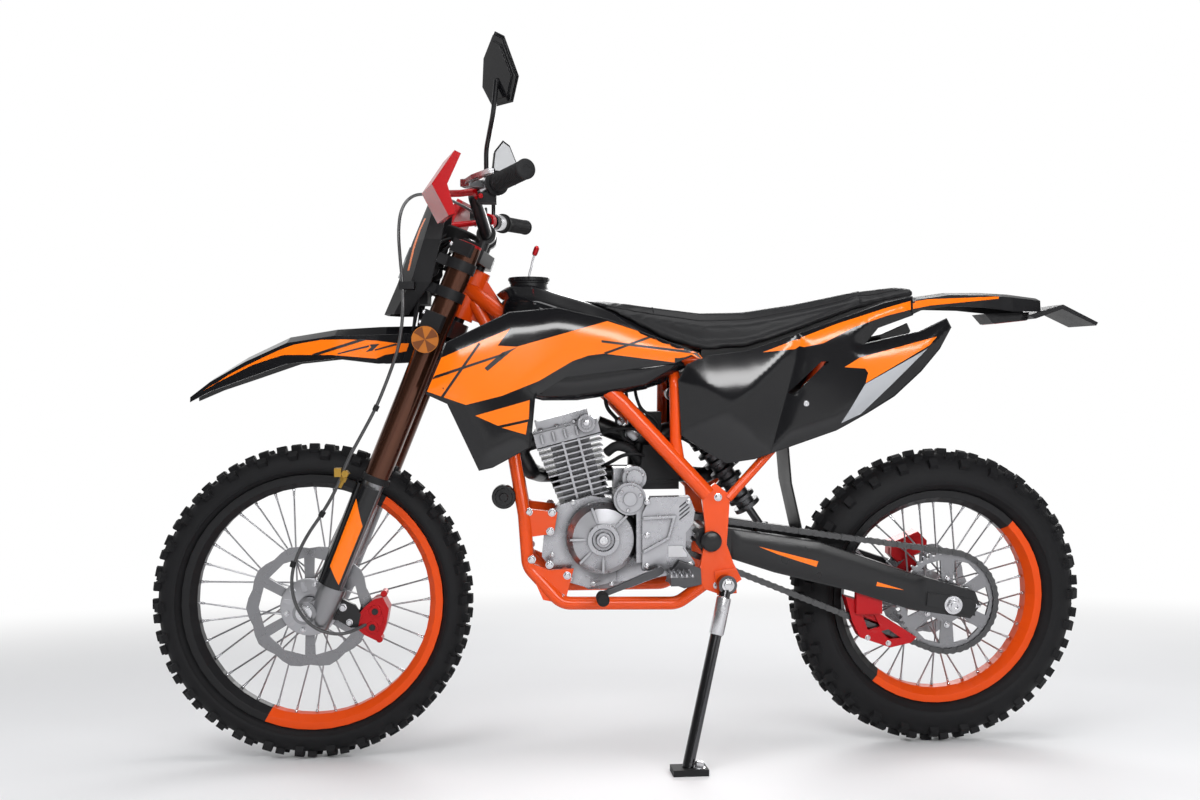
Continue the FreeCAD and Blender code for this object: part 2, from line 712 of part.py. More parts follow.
neck_low, neck_high = head_tube_span
spar_points = [behind_axis(neck_high - 44, -5) + vec(0, -16, 0), vec(460, -60, 940), vec(600, -104, 846),
               vec(664, -112, 790), vec(852, -121, 588)]
spar_bend = 90.0
left_spar = tube(spar_points, spar_radius, spar_bend)
plate_outline = [(838, 590), (868, 612), (900, 586), (897, 535), (893, 480), (908, 440), (926, 404),
                 (880, 372), (846, 384), (831, 412), (842, 464), (848, 491), (846, 526)]
plate_outer = pivot_plate_inner + pivot_plate_thickness
left_plate = plate(plate_outline, -plate_outer, -pivot_plate_inner)
pivot_hole = rod(vec(pivot_x, -200, pivot_z), vec(pivot_x, 200, pivot_z), axle_radius)
head_tube = pipe(axis_place(head_tube_span[0]), axis_place(head_tube_span[1]), head_tube_radius,
                 stem_radius + bearing_gap)
head_bore = rod(axis_place(head_tube_span[0] - 1), axis_place(head_tube_span[1] + 80), head_tube_radius)


gusset_half = 14.0
gusset_ring = [(neck_low + 6, 20), (neck_low + 6, 60), (neck_low - 32, 99), (neck_low - 22, 125),
               (neck_low + 38, 114), (neck_high - 8, 20)]
gusset = prism([behind_axis(along, back) - SIDEWAYS * gusset_half for along, back in gusset_ring],
               SIDEWAYS * (2 * gusset_half)).cut(head_bore)
SHOCK_HIGH = vec(792, 0, 800)
stay_points = [vec(784, -62, 868), vec(784, -104, 826), vec(784, -114, 706), vec(792, -117, 655)]
stay_radius = 12.0
stay = tube(stay_points, stay_radius, 20.0)
shock_bar = rod(SHOCK_HIGH - SIDEWAYS * 104, SHOCK_HIGH, 10.0)
stand_hinge_line = plate_outer + 7.0
stand_bracket = plate([(872, 372), (866, 424), (910, 430), (914, 376)], -stand_hinge_line, -plate_outer)
stand_bolt_radius = 8.0
PIVOT = vec(*stand_pivot)
foot_z = -stand_foot[1] * math.tan(LEAN)
FOOT = vec(stand_foot[0], stand_foot[1], foot_z + 12)
leg_down = (FOOT - PIVOT).normalize()
leg_up = vec(*stand_stowed).normalize()
sweep = (leg_up - leg_down).normalize()
STAND_AXIS = (sweep * SIDEWAYS.dot(sweep) - SIDEWAYS).normalize()
stand_travel = math.degrees((leg_down - STAND_AXIS * leg_down.dot(STAND_AXIS)).getAngle(
    leg_up - STAND_AXIS * leg_up.dot(STAND_AXIS)))
stand_bolt = rod(PIVOT + STAND_AXIS * 15, PIVOT - STAND_AXIS * 15, stand_bolt_radius)
left_main = cut(fuse([left_spar, left_plate, stay, shock_bar]), [head_bore, pivot_hole])
right_main = mirrored(left_main)
left_main = fuse([left_main, stand_bracket, stand_bolt])
down_points = [behind_axis(neck_high - 67, 19) + vec(0, -18, 0),
               behind_axis(neck_low - 13, 90) + vec(0, -26, 0), vec(438, -48, 668), vec(460, -70, 540),
               vec(468, -82, 430), vec(540, -95, 352), vec(790, -104, 350), vec(846, -112, 392)]
left_down = tube(down_points, down_tube_radius, 46.0)
gusset = cut(gusset, [left_main, right_main])
nodes["head_tube"] = fuse([head_tube, gusset])
nodes["main_spars"] = Part.makeCompound([left_main, right_main])
left_cradle = cut(left_down, [nodes["head_tube"], left_main, right_main, head_bore])
left_cradle = max(left_cradle.Solids, key=lambda solid: solid.Volume)

# Swingarm
arm_outline = [(836, 512), (860, 520), (900, 512), (1100, 480), (1300, 410), (1450, 366), (1462, 334),
               (1440, 306), (1300, 330), (1169, 372), (1000, 415), (900, 448), (850, 452), (832, 478)]
left_arm = plate(arm_outline, -arm_inner - arm_width, -arm_inner)
SHOCK_LOW = vec(1000, 0, 494)
shock_pin = 6.0
clevis = plate([(980, 470), (984, 506), (1016, 506), (1020, 470)], -24, -16)
bridge = fuse([box(962, 1034, -arm_inner, arm_inner, 434, 474), clevis, mirrored(clevis),
               rod(SHOCK_LOW - SIDEWAYS * 20, SHOCK_LOW + SIDEWAYS * 20, shock_pin)])
pivot_tube = rod(vec(pivot_x, -arm_inner, pivot_z), vec(pivot_x, arm_inner, pivot_z), 20.0)
pivot_shaft = rod(vec(pivot_x, -plate_outer - 4, pivot_z), vec(pivot_x, plate_outer + 4, pivot_z),
                  axle_radius)
axle_hole = rod(REAR_AXLE - SIDEWAYS * 200, REAR_AXLE + SIDEWAYS * 200, axle_radius)
axle_block = plate([(1342, 366), (1446, 349), (1450, 312), (1340, 337)], -arm_inner - arm_width - 3,
                   -arm_inner - arm_width)
left_arm = cut(fuse([left_arm, axle_block]), [axle_hole, pivot_shaft])
nodes["swingarm"] = Part.makeCompound([left_arm, mirrored(left_arm), bridge, fuse([pivot_tube, pivot_shaft])])

# Shock absorber
shock_way = (SHOCK_HIGH - SHOCK_LOW).normalize()
shock_length = (SHOCK_HIGH - SHOCK_LOW).Length
coil_count = 7
coil_low = 70.0
coil_pitch = 25.0
coil_radius = 31.0


def shock_profile():
    """The absorber's outline as (radius, distance) corners: shaft, spring coils, body."""
    corners = [(0, 0), (9, 0), (9, coil_low - 10), (coil_radius, coil_low - 10), (coil_radius, coil_low)]
    for k in range(coil_count):
        start = coil_low + k * coil_pitch
        corners += [(21, start), (21, start + 10), (coil_radius, start + 13), (coil_radius, start + 21),
                    (21, start + 24)]
    top = coil_low + coil_count * coil_pitch
    return corners + [(21, top), (coil_radius, top), (coil_radius, top + 8), (22, top + 10),
                      (22, shock_length - 30), (12, shock_length - 20), (0, shock_length - 20)]


shock_side = SIDEWAYS.cross(shock_way)
shock_ring = [SHOCK_LOW + shock_side * r + shock_way * d for r, d in shock_profile()]
shock_body = Part.Face(polygon(shock_ring)).revolve(SHOCK_LOW, shock_way, 360)
eyes = [rod(end - SIDEWAYS * 15, end + SIDEWAYS * 15, 15.0) for end in (SHOCK_LOW, SHOCK_HIGH)]
neck = rod(SHOCK_LOW + shock_way * (shock_length - 24), SHOCK_HIGH, 12.0)
nodes["shock_absorber"] = cut(fuse([shock_body, neck] + eyes), [nodes["swingarm"], nodes["main_spars"]])
rear_axle_reach = arm_inner + arm_width + 16.0
nodes["rear_axle"] = pipe(REAR_AXLE - SIDEWAYS * rear_axle_reach, REAR_AXLE + SIDEWAYS * rear_axle_reach,
                          axle_radius, axle_bore)

# Chain
DRIVE = vec(drive_x, 0, drive_z)


def chain_loop(offset):
    """The chain's line round both sprockets, moved outward by an offset."""
    small = pitch_radius(drive_teeth) + offset
    large = pitch_radius(rear_teeth) + offset
    gap = REAR_AXLE - DRIVE
    span = math.hypot(gap.x, gap.z)
    heading = math.atan2(gap.z, gap.x)
    swing = math.acos((small - large) / span)

    def at(centre, radius, angle):
        return vec(centre.x + radius * math.cos(angle), 0, centre.z + radius * math.sin(angle))

    top, bottom = heading + swing, heading - swing
    first = at(DRIVE, small, top)
    second = at(REAR_AXLE, large, top)
    third = at(REAR_AXLE, large, heading)
    fourth = at(REAR_AXLE, large, bottom)
    fifth = at(DRIVE, small, bottom)
    sixth = at(DRIVE, small, heading + math.pi)
    return Part.Wire([Part.LineSegment(first, second).toShape(), Part.Arc(second, third, fourth).toShape(),
                      Part.LineSegment(fourth, fifth).toShape(), Part.Arc(fifth, sixth, first).toShape()])


def chain_band(y_low):
    outer = Part.Face(chain_loop(plate_half_height)).extrude(vec(0, plate_thickness, 0))
    inner = Part.Face(chain_loop(-plate_half_height)).extrude(vec(0, plate_thickness, 0))
    band = outer.cut(inner)
    band.translate(vec(0, y_low, 0))
    return band


channel = sprocket_thickness / 2 + chain_gap
bands = [chain_band(chain_line + channel), chain_band(chain_line - channel - plate_thickness)]
line = chain_loop(0).Edges
rollers = []
for run in (line[0], line[2]):
    count = int(run.Length / chain_pitch)
    start = run.Vertexes[0].Point
    way = (run.Vertexes[1].Point - start) * (1.0 / run.Length)
    for k in range(3, count - 2, 4):
        at = start + way * (chain_pitch * k) + vec(0, chain_line - channel - 0.5, 0)
        rollers.append(prism_rod(at, at + vec(0, 2 * channel + 1.0, 0), 4.0, 6))
nodes["chain"] = fuse(bands + rollers)
shaft_radius = 12.0
drive_sprocket = sprocket(DRIVE, drive_teeth, shaft_radius, 0)


def chain_slab(grow):
    return Part.Face(chain_loop(grow)).extrude(vec(0, 21, 0))


chain_room = chain_slab(12.0).cut(chain_slab(-12.0))
chain_room.translate(vec(0, chain_line - 10.5, 0))
sprocket_room = rod(REAR_AXLE + SIDEWAYS * (chain_line - 10.5), REAR_AXLE + SIDEWAYS * (chain_line + 10.5),
                    pitch_radius(rear_teeth) + 12.0)

# Engine
case_outline = [(505, 440), (512, 520), (545, 556), (600, 572), (700, 566), (770, 556), (826, 540),
                (828, 430), (780, 402), (700, 392), (600, 385), (545, 404)]
case_left = -62.0
case_right = 76.0
crankcase = plate(case_outline, case_left, case_right)
CRANK = vec(629, 0, 491)
cover_face = -112.0
left_cover = turned(CRANK, [(0, case_left), (78, case_left), (78, -88), (66, -106), (34, cover_face),
                            (34, -117), (25, -117), (23, -114), (17, -114), (15, -120), (0, -120)])


def cover_rib(angle):
    """A radial rib on the round left cover."""
    turn = math.radians(angle)
    out = vec(math.cos(turn), 0, math.sin(turn))
    across = vec(-math.sin(turn), 0, math.cos(turn)) * 2.5
    ring = [CRANK + vec(0, cover_face, 0) + out * r + across * s
            for r, s in ((33, -1), (72, -1), (72, 1), (33, 1))]
    return prism(ring, vec(0, 20, 0))


cover_ribs = [cover_rib(angle) for angle in (45, 110, 180, 225, 270)]
right_cover = turned(CRANK + vec(44, 0, 0), [(0, case_right), (92, case_right), (92, 98), (78, 110),
                                             (0, 112)])
starter_face = -112.0
starter_at = vec(686, starter_face, 578)
starter = fuse([rod(vec(686, case_left, 578), starter_at, 35.0),
                rod(starter_at, starter_at - SIDEWAYS * 3, 29.0),
                rod(starter_at, starter_at - SIDEWAYS * 6, 14.0),
                rod(vec(697, case_left, 622), vec(697, -102, 622), 26.0),
                rod(vec(697, -102, 622), vec(697, -106, 622), 17.0),
                box(655, 716, case_left, -20, 560, 640)])
cover_outer = -118.0
sprocket_cover = plate([(712, 424), (712, 548), (730, 582), (814, 583), (826, 552), (822, 524), (806, 505),
                        (806, 470), (826, 440), (826, 424)], cover_outer, -92)
cover_slots = [plate([(792, 544 + k * 9), (814, 562 + k * 9), (814, 558 + k * 9), (792, 540 + k * 9)],
                     cover_outer - 1, cover_outer + 4) for k in (-1, 0, 1, 2)]
cover_ridge = plate([(714, 540), (784, 543), (770, 492), (714, 462), (714, 468), (766, 496), (777, 537),
                     (714, 534)], cover_outer - 4, cover_outer)
sprocket_cover = fuse([cut(sprocket_cover, cover_slots), cover_ridge])
cover_bridge = plate([(700, 440), (700, 560), (728, 560), (728, 440)], -112, case_left)
left_cover = cut(fuse([left_cover] + cover_ribs), [sprocket_cover])
case_flange = plate([(498, 448), (505, 522), (540, 562), (604, 580), (660, 572), (660, 392), (600, 378),
                     (540, 396)], case_left - 5, case_left)
sump = plate([(560, 396), (600, 372), (690, 372), (760, 398)], -50, 60)
output_shaft = rod(vec(drive_x, chain_line - 5, drive_z), vec(drive_x, case_left, drive_z), shaft_radius)
nodes["crankcase"] = fuse([crankcase, left_cover, right_cover, cover_bridge, sprocket_cover, starter,
                           output_shaft, drive_sprocket, case_flange, sump])
mount_plate = plate([(456, 556), (532, 546), (524, 500), (462, 492)], -78, -70)
mount_spacer = rod(vec(516, -72, 520), vec(516, case_left - 5, 520), 12.0)
low_plate = plate([(462, 446), (512, 424), (566, 426), (546, 350), (500, 360)], -96, -86)
low_spacer = rod(vec(548, -88, 412), vec(548, case_left - 5, 412), 12.0)
left_cradle = fuse([left_cradle, mount_plate, mount_spacer, low_plate, low_spacer])
right_cradle = mirrored(left_cradle)
nodes["cradle"] = Part.makeCompound([max(side.cut(nodes["crankcase"]).Solids, key=lambda solid: solid.Volume)
                                     for side in (left_cradle, right_cradle)])

cylinder_lean = math.radians(14.5)
barrel_way = vec(-math.sin(cylinder_lean), 0, math.cos(cylinder_lean))
barrel_across = vec(math.cos(cylinder_lean), 0, math.sin(cylinder_lean))
barrel_foot = vec(596, 4, 560)
barrel_height = 146.0
fin_count = 11
fin_thickness = 3.5
head_height = 56.0


def barrel_block(low, high, half_front, half_rear, half_width):
    """A block square to the cylinder's axis, between two heights."""
    corners = [(-half_front, -half_width), (half_rear, -half_width), (half_rear, half_width),
               (-half_front, half_width)]
    ring = [barrel_foot + barrel_way * low + barrel_across * a + vec(0, b, 0) for a, b in corners]
    return prism(ring, barrel_way * (high - low))


fins = []
for k in range(fin_count):
    low = 16.0 + k * (barrel_height - 20.0) / (fin_count - 1)
    grow = 18.0 * k / (fin_count - 1)
    fins.append(barrel_block(low - fin_thickness / 2, low + fin_thickness / 2, 56.0 + grow,
                             55.0 + grow * 0.9, 62.0))
fin_ribs = [barrel_block(14, barrel_height, 18, -13, 62.0), barrel_block(14, barrel_height, -17, 22, 62.0)]
barrel = fuse([barrel_block(-4, barrel_height, 44.0, 44.0, 46.0)] + fins + fin_ribs)
nodes["cylinder"] = barrel.cut(nodes["crankcase"])
rocker_low = barrel_height + head_height * 0.55
rocker_high = barrel_height + head_height
cam_cap = barrel_foot + barrel_way * (rocker_low - 4) + barrel_across * 44
head_ribs = [barrel_block(barrel_height + 6, rocker_low - 4, 60 - 26 * k, -56 + 26 * k, 65.0)
             for k in range(4)]
head = fuse([barrel_block(barrel_height, rocker_low, 74.0, 70.0, 60.0),
             barrel_block(rocker_low, rocker_high, 64.0, 54.0, 50.0),
             barrel_block(rocker_low, rocker_low + 5, 70.0, 60.0, 55.0),
             rod(cam_cap - SIDEWAYS * 72, cam_cap, 19.0),
             rod(cam_cap - SIDEWAYS * 77, cam_cap, 11.0)] + head_ribs)
nodes["cylinder_head"] = head.cut(nodes["cylinder"])

intake_start = barrel_foot + barrel_way * (barrel_height + 14) + barrel_across * 69.5
intake = rod(intake_start, vec(690, 4, 706), 20.0)
bowl = fuse([rod(vec(684, 4, 706), vec(748, 4, 700), 27.0), rod(vec(716, 4, 640), vec(716, 4, 742), 24.0)])
airbox_front = 806.0
carburettor = fuse([intake, bowl, rod(vec(748, 4, 700), vec(airbox_front, 4, 716), 26.0)])
shock_room = rod(SHOCK_LOW, SHOCK_HIGH, coil_radius + 6.0)
carburettor = cut(carburettor, [nodes["cylinder_head"], nodes["cylinder"], shock_room])
nodes["carburettor"] = max(carburettor.Solids, key=lambda solid: solid.Volume)
airbox = plate([(airbox_front, 700), (airbox_front, 850), (850, 876), (960, 880), (1010, 800), (1000, 700),
                (900, 668)], -68, 68)
nodes["airbox"] = cut(airbox, [nodes["carburettor"], shock_room])

# Exhaust on the right
port = barrel_foot + barrel_way * (barrel_height + 14) - barrel_across * 74.0
muffler_line = 91.0
muffler_radius = 34.0
muffler_start = vec(1040, muffler_line, 800)
pipe_points = [port, vec(444, 4, 684), vec(474, 16, 628), vec(500, 92, 612), vec(600, 98, 614),
               vec(780, 86, 614), vec(880, 72, 608), vec(950, 84, 650), vec(990, 92, 730), muffler_start]
header = tube(pipe_points, 19.0, 23.0)
muffler = rod(vec(1028, muffler_line, 796), vec(1330, muffler_line, 896), muffler_radius)
nodes["exhaust"] = cut(fuse([header, muffler]), [nodes["cylinder_head"], nodes["cylinder"]])

# Tank
tank_rings = []
for x, top, side, low, half in ((392, 1018, 985, 930, 52), (430, 1040, 1005, 872, 98),
                                (480, 1040, 1000, 806, 142), (528, 1022, 985, 790, 144),
                                (592, 1004, 965, 791, 141), (648, 986, 940, 804, 137),
                                (720, 958, 920, 812, 126), (768, 938, 905, 826, 115),
                                (796, 918, 890, 856, 104)):
    tank_rings.append([vec(x, -half * 0.42, top), vec(x, half * 0.42, top), vec(x, half, side),
                       vec(x, half, low + 26), vec(x, half - 26, low), vec(x, -half + 26, low),
                       vec(x, -half, low + 26), vec(x, -half, side)])
tank = skin(tank_rings)
tunnel = plate([(300, 1080), (380, 1030), (500, 950), (640, 890), (720, 868), (810, 880), (810, 700),
                (300, 700)], -70, 70)
spar_room = tube(spar_points, spar_radius + 5.0, spar_bend)
stay_room = tube(stay_points, stay_radius + 3.0, 20.0)
nodes["fuel_tank"] = max(cut(tank, [tunnel, spar_room, mirrored(spar_room), stay_room, mirrored(stay_room),
                                    nodes["head_tube"]]).Solids, key=lambda solid: solid.Volume)
cap_at = vec(472, 0, 1036)
cap_shoulder = cap_at + vec(0, 0, 14)
cap = fuse([rod(cap_at, cap_shoulder, 40.0), rod(cap_shoulder, cap_at + vec(0, 0, 22), 44.0)])
nodes["fuel_cap"] = cap.cut(nodes["fuel_tank"])

# Seat
seat_rings = []
for x, top, low, half in ((556, 1011, 1006, 46), (630, 1003, 962, 62), (720, 988, 930, 84),
                          (843, 972, 897, 110), (940, 975, 904, 120), (1053, 992, 941, 122),
                          (1180, 1018, 986, 116), (1318, 1036, 1016, 84)):
    crown = top - (top - low) * 0.3
    seat_rings.append([vec(x, -half * 0.7, top), vec(x, half * 0.7, top), vec(x, half, crown),
                       vec(x, half, low), vec(x, -half, low), vec(x, -half, crown)])
nodes["seat"] = skin(seat_rings).cut(nodes["fuel_tank"])

# Shrouds and side panels
panel_wall = 4.0


def ribbon(low_points, high_points, z_low, z_high):
    """A curved wall: two plan-view lines of (x, half width), one low and one high."""
    rings = []
    for z, points in ((z_low, low_points), (z_high, high_points)):
        outer = [vec(x, -half, z) for x, half in points]
        inner = [vec(x, -half + panel_wall, z) for x, half in reversed(points)]
        rings.append(outer + inner)
    return skin(rings)


shroud_low = [(240, 184), (300, 192), (400, 190), (480, 182), (560, 166), (660, 150), (760, 136), (860, 128)]
shroud_high = [(240, 176), (300, 178), (400, 160), (480, 150), (560, 150), (660, 142), (760, 124), (860, 116)]
shroud_outline = [(260, 806), (303, 912), (430, 975), (530, 985), (640, 960), (836, 890), (780, 868),
                  (640, 850), (545, 838), (484, 800), (474, 696), (396, 655), (368, 649), (304, 786)]
shroud_bosses = [rod(vec(560, -130, 900), vec(560, -152, 900), 9.0),
                 rod(vec(474, -116, 920), vec(474, -156, 920), 9.0)]
left_shroud = plate(shroud_outline, -230, -60).common(ribbon(shroud_low, shroud_high, 630, 1000))
left_shroud = fuse([left_shroud] + [boss.cut(nodes["fuel_tank"]) for boss in shroud_bosses])
nodes["shrouds"] = Part.makeCompound([left_shroud, mirrored(left_shroud)])

panel_low = [(780, 128), (900, 136), (1000, 146), (1150, 156), (1300, 158), (1400, 156)]
panel_high = [(780, 118), (900, 126), (1000, 130), (1150, 132), (1300, 118), (1400, 112)]
panel_outline = [(846, 884), (937, 896), (1053, 935), (1235, 1000), (1300, 1014), (1300, 972), (1220, 944),
                 (1191, 911), (1314, 938), (1376, 966), (1386, 946), (1358, 899), (1315, 851), (1253, 797),
                 (1192, 761), (1125, 725), (1033, 693), (950, 664), (890, 655), (830, 690), (795, 715),
                 (788, 833), (806, 866)]
slot_outline = [(1021, 806), (1092, 872), (1108, 872), (1034, 800)]
panel_plate = plate(panel_outline, -230, -60).cut(plate(slot_outline, -231, -59))
left_panel = panel_plate.common(ribbon(panel_low, panel_high, 640, 1030))

# Rear fender and tail
fender = skin([fender_ring(x, top, side, half, fender_wall) for x, top, side, half in
               ((1010, 912, 870, 96), (1150, 962, 926, 100), (1290, 1004, 966, 94), (1330, 1016, 984, 90),
                (1400, 1026, 994, 84), (1480, 1027, 992, 76), (1552, 1024, 984, 66), (1626, 1016, 985, 44))])
flap_half = 54.0
mud_flap = plate([(1024, 880), (1046, 690), (1054, 603), (1080, 490), (1076, 489), (1050, 602), (1042, 690),
                  (1020, 880)], -flap_half, flap_half)
flap_root = plate([(1012, 911), (1018, 911), (1024, 880), (1020, 878)], -40, 40)
nodes["rear_fender"] = fuse([fender, mud_flap, flap_root])
lamp = plate([(1500, 980), (1604, 984), (1600, 966), (1520, 958)], -34, 34)
holder = plate([(1590, 976), (1604, 980), (1670, 1000), (1752, 960), (1748, 953), (1668, 990), (1606, 968)],
               -60, 60)
nodes["tail_lamp"] = fuse([lamp, holder]).cut(nodes["rear_fender"])

# Subframe
rail = tube([vec(700, -60, 862), vec(940, -66, 886), vec(1270, -62, 978)], strut_radius, 60.0)
strut = tube([vec(896, -121, 578), vec(1030, -94, 716), vec(1092, -38, 784), vec(1190, -52, 946)],
             strut_radius, 24.0)
rails = fuse([rail, mirrored(rail), strut, mirrored(strut),
              rod(vec(1240, -60, 970), vec(1240, 60, 970), strut_radius),
              rod(vec(720, -62, 863), vec(720, 62, 863), strut_radius)])
nodes["subframe"] = cut(rails, [nodes["main_spars"], nodes["airbox"], nodes["rear_fender"], nodes["seat"],
                                nodes["exhaust"], nodes["fuel_tank"]])
panel_bosses = [rod(vec(1030, -96, 716), vec(1030, -142, 716), 7.0),
                rod(vec(960, -68, 892), vec(960, -131, 892), 7.0)]
left_panel = fuse([left_panel] + [boss.cut(nodes["subframe"]) for boss in panel_bosses])
nodes["side_panels"] = Part.makeCompound([left_panel, mirrored(left_panel)])

# Foot controls
peg_line = plate_outer + 7.0
foot_peg = fuse([plate([(760, 404), (790, 446), (836, 430), (838, 396), (800, 388)], -peg_line, -plate_outer),
                 box(762, 812, -205, -peg_line, 408, 426)])
gear_lever = fuse([rod(vec(747, -118, 428), vec(747, -140, 428), 9.0),
                   plate([(747, 437), (626, 386), (620, 372), (747, 419)], -146, -136),
                   rod(vec(623, -136, 377), vec(623, -186, 377), 10.0)])
brake_pedal = fuse([rod(vec(857, plate_outer, 407), vec(857, 154, 407), 7.0),
                    plate([(862, 426), (842, 395), (642, 382), (642, 370), (848, 380), (874, 408)], 150, 158),
                    box(622, 664, 146, 186, 373, 385)])
nodes["foot_controls"] = Part.makeCompound([foot_peg, mirrored(foot_peg), gear_lever, brake_pedal])
rear_bracket = plate([(1330, 440), (1376, 446), (1400, 362), (1420, 337), (1400, 318), (1380, 330),
                      (1340, 380)], arm_inner - 8, arm_inner)
rear_hole = rod(REAR_AXLE + SIDEWAYS * 70, REAR_AXLE + SIDEWAYS * 100, axle_radius)
nodes["rear_caliper"] = fuse([caliper(REAR_AXLE, 1, rear_disc_radius + 2, 112.0), rear_bracket])
nodes["rear_caliper"] = cut(nodes["rear_caliper"], [rear_hole, nodes["swingarm"]])
guide = plate([(1165, 355), (1192, 347), (1229, 324), (1326, 262), (1313, 250), (1267, 240), (1198, 264),
               (1180, 300)], chain_line - 16, chain_line + 16)
guide = cut(guide,
            [plate([(1203, 313), (1230, 314), (1243, 287), (1216, 280)], chain_line - 17, chain_line - 10),
             plate([(1246, 277), (1262, 281), (1290, 261), (1262, 258)], chain_line - 17, chain_line - 10)])
guide_tab = box(1186, 1244, -104, -89, 318, 376)
guide = cut(fuse([guide, guide_tab]), [chain_room, sprocket_room, nodes["swingarm"]])
nodes["chain_guide"] = max(guide.Solids, key=lambda solid: solid.Volume)

# Side stand
leg = rod(PIVOT, FOOT, 12.0)
pad = prism([vec(stand_foot[0] + x, stand_foot[1] + y, foot_z - y * math.tan(LEAN))
             for x, y in ((-30, -26), (36, -26), (36, 26), (-30, 26))], vec(0, 0, 9))
knuckle = rod(PIVOT - STAND_AXIS * 11, PIVOT + STAND_AXIS * 11, 20.0)
bolt_hole = rod(PIVOT - STAND_AXIS * 30, PIVOT + STAND_AXIS * 30, stand_bolt_radius + bearing_gap)
nodes["side_stand"] = fuse([leg, pad, knuckle]).cut(bolt_hole)


def placed():
    """Lean the whole bike to its left and set the middle of its outline over the origin."""
    tilt = FreeCAD.Placement(vec(0, 0, 0), FreeCAD.Rotation(vec(1, 0, 0), lean))
    leaned = {}
    for name, shape in nodes.items():
        copy = shape.copy()
        copy.Placement = tilt.multiply(copy.Placement)
        leaned[name] = copy
    bounds = FreeCAD.BoundBox()
    for shape in leaned.values():
        bounds.add(shape.BoundBox)
    shift = vec(-bounds.Center.x, -bounds.Center.y, -bounds.ZMin)
    for shape in leaned.values():
        shape.translate(shift)
    return leaned, tilt, shift


def main():
    os.makedirs("parts", exist_ok=True)
    leaned, tilt, shift = placed()
    for name, shape in leaned.items():
        shape.exportStep("parts/" + name + ".step")
        print("%-18s solids %2d valid %s volume %.0f" % (name, len(shape.Solids), shape.isValid(),
                                                         shape.Volume))

    def row(point):
        moved = tilt.multVec(point) + shift
        return [round(value / 1000, 6) for value in moved]

    def row_way(way):
        turned_way = tilt.Rotation.multVec(way)
        return [round(value, 6) for value in turned_way]

    print("front_axle", row(FRONT_AXLE), row_way(SIDEWAYS))
    print("rear_axle", row(REAR_AXLE), row_way(SIDEWAYS))
    print("steering", row(axis_place(750)), row_way(UP_FORK))
    print("stand", row(PIVOT), row_way(STAND_AXIS), round(stand_travel, 2))
    print("hose radii", [round(bend) for bend in hose_bends], "length", round(hose_length))


main()
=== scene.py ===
"""The dirt bike's looks: materials, tyres, seat, graphics, chain links, hose, bolts, light and camera."""
import bpy
import bmesh
import json
import math
from math import cos, pi, radians, sin, sqrt
from mathutils import Matrix, Vector
from mathutils.bvhtree import BVHTree


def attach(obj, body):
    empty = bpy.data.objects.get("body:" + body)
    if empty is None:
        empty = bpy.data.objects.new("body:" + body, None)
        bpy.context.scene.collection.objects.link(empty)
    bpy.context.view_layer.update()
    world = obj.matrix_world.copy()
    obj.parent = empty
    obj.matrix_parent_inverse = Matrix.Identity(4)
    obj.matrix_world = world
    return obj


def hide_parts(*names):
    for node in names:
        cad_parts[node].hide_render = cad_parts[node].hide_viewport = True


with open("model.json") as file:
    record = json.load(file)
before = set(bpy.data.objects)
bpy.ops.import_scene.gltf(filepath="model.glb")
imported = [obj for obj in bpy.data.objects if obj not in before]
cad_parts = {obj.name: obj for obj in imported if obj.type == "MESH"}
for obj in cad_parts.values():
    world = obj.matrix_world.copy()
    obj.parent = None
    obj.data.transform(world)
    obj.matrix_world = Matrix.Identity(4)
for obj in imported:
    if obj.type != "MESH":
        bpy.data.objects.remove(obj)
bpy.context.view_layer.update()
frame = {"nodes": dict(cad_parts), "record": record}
NODES = frame["nodes"]

# The bike's own upright frame, in millimetres: x to the rear, y to the right, z up
LEAN = radians(8.0)
RAKE = radians(22.0)
FORK_OFFSET = 33.0
FRONT_RADIUS = 347.0
REAR_RADIUS = 337.0
WHEELBASE = 1400.0
BAR = Vector((380.3, 0, 1146.8))
FORK_UP = Vector((sin(RAKE), 0, cos(RAKE)))
FORK_FRONT = Vector((-cos(RAKE), 0, sin(RAKE)))
LEFT = (0, -1, 0)
RIGHT = (0, 1, 0)
UP = (0, 0, 1)
SIDES = (-1, 1)
VOXEL = 0.006


def way(x, y, z):
    """A direction of the upright frame, in the row's frame."""
    return Vector((x, y * cos(LEAN) - z * sin(LEAN), y * sin(LEAN) + z * cos(LEAN)))


mounts = {m["name"]: Vector(m["pos_m"]) for m in frame["record"]["mounts"]}
SHIFT = mounts["front_axle_bore"] - way(0, 0, FRONT_RADIUS) / 1000
UPRIGHT = Matrix.Translation(SHIFT) @ Matrix.Rotation(LEAN, 4, "X") @ Matrix.Scale(0.001, 4)


def place(x, y, z):
    """A point of the upright frame, in the row's frame."""
    return way(x, y, z) / 1000 + SHIFT


def fork_place(along, side, ahead=0.0):
    """A point along the fork, sideways and ahead of it."""
    return Vector((0, side, FRONT_RADIUS)) + FORK_UP * along + FORK_FRONT * (ahead - FORK_OFFSET)


def around(x, y, z, radius, angle):
    """A point on a circle about an axis across the bike."""
    return x + radius * cos(angle), y, z + radius * sin(angle)


def grip_line(side):
    """The inner end of a grip, and its way outward."""
    return Vector((410.3, side * 292, 1216.8)), Vector((54, side * 113, 6)).normalized()


# Materials
# Painted shade in crevices: the base colour darkens towards CREVICE_SHADE of itself where ambient occlusion
# finds nearby surfaces
CREVICE_POWER = 1.6
CREVICE_SHADE = 0.12
BUMP_DEPTH = 0.0003


def feed(tree, socket, value):
    """Links a socket to an output, or sets its value."""
    if isinstance(value, bpy.types.NodeSocket):
        tree.links.new(value, socket)
    else:
        socket.default_value = value


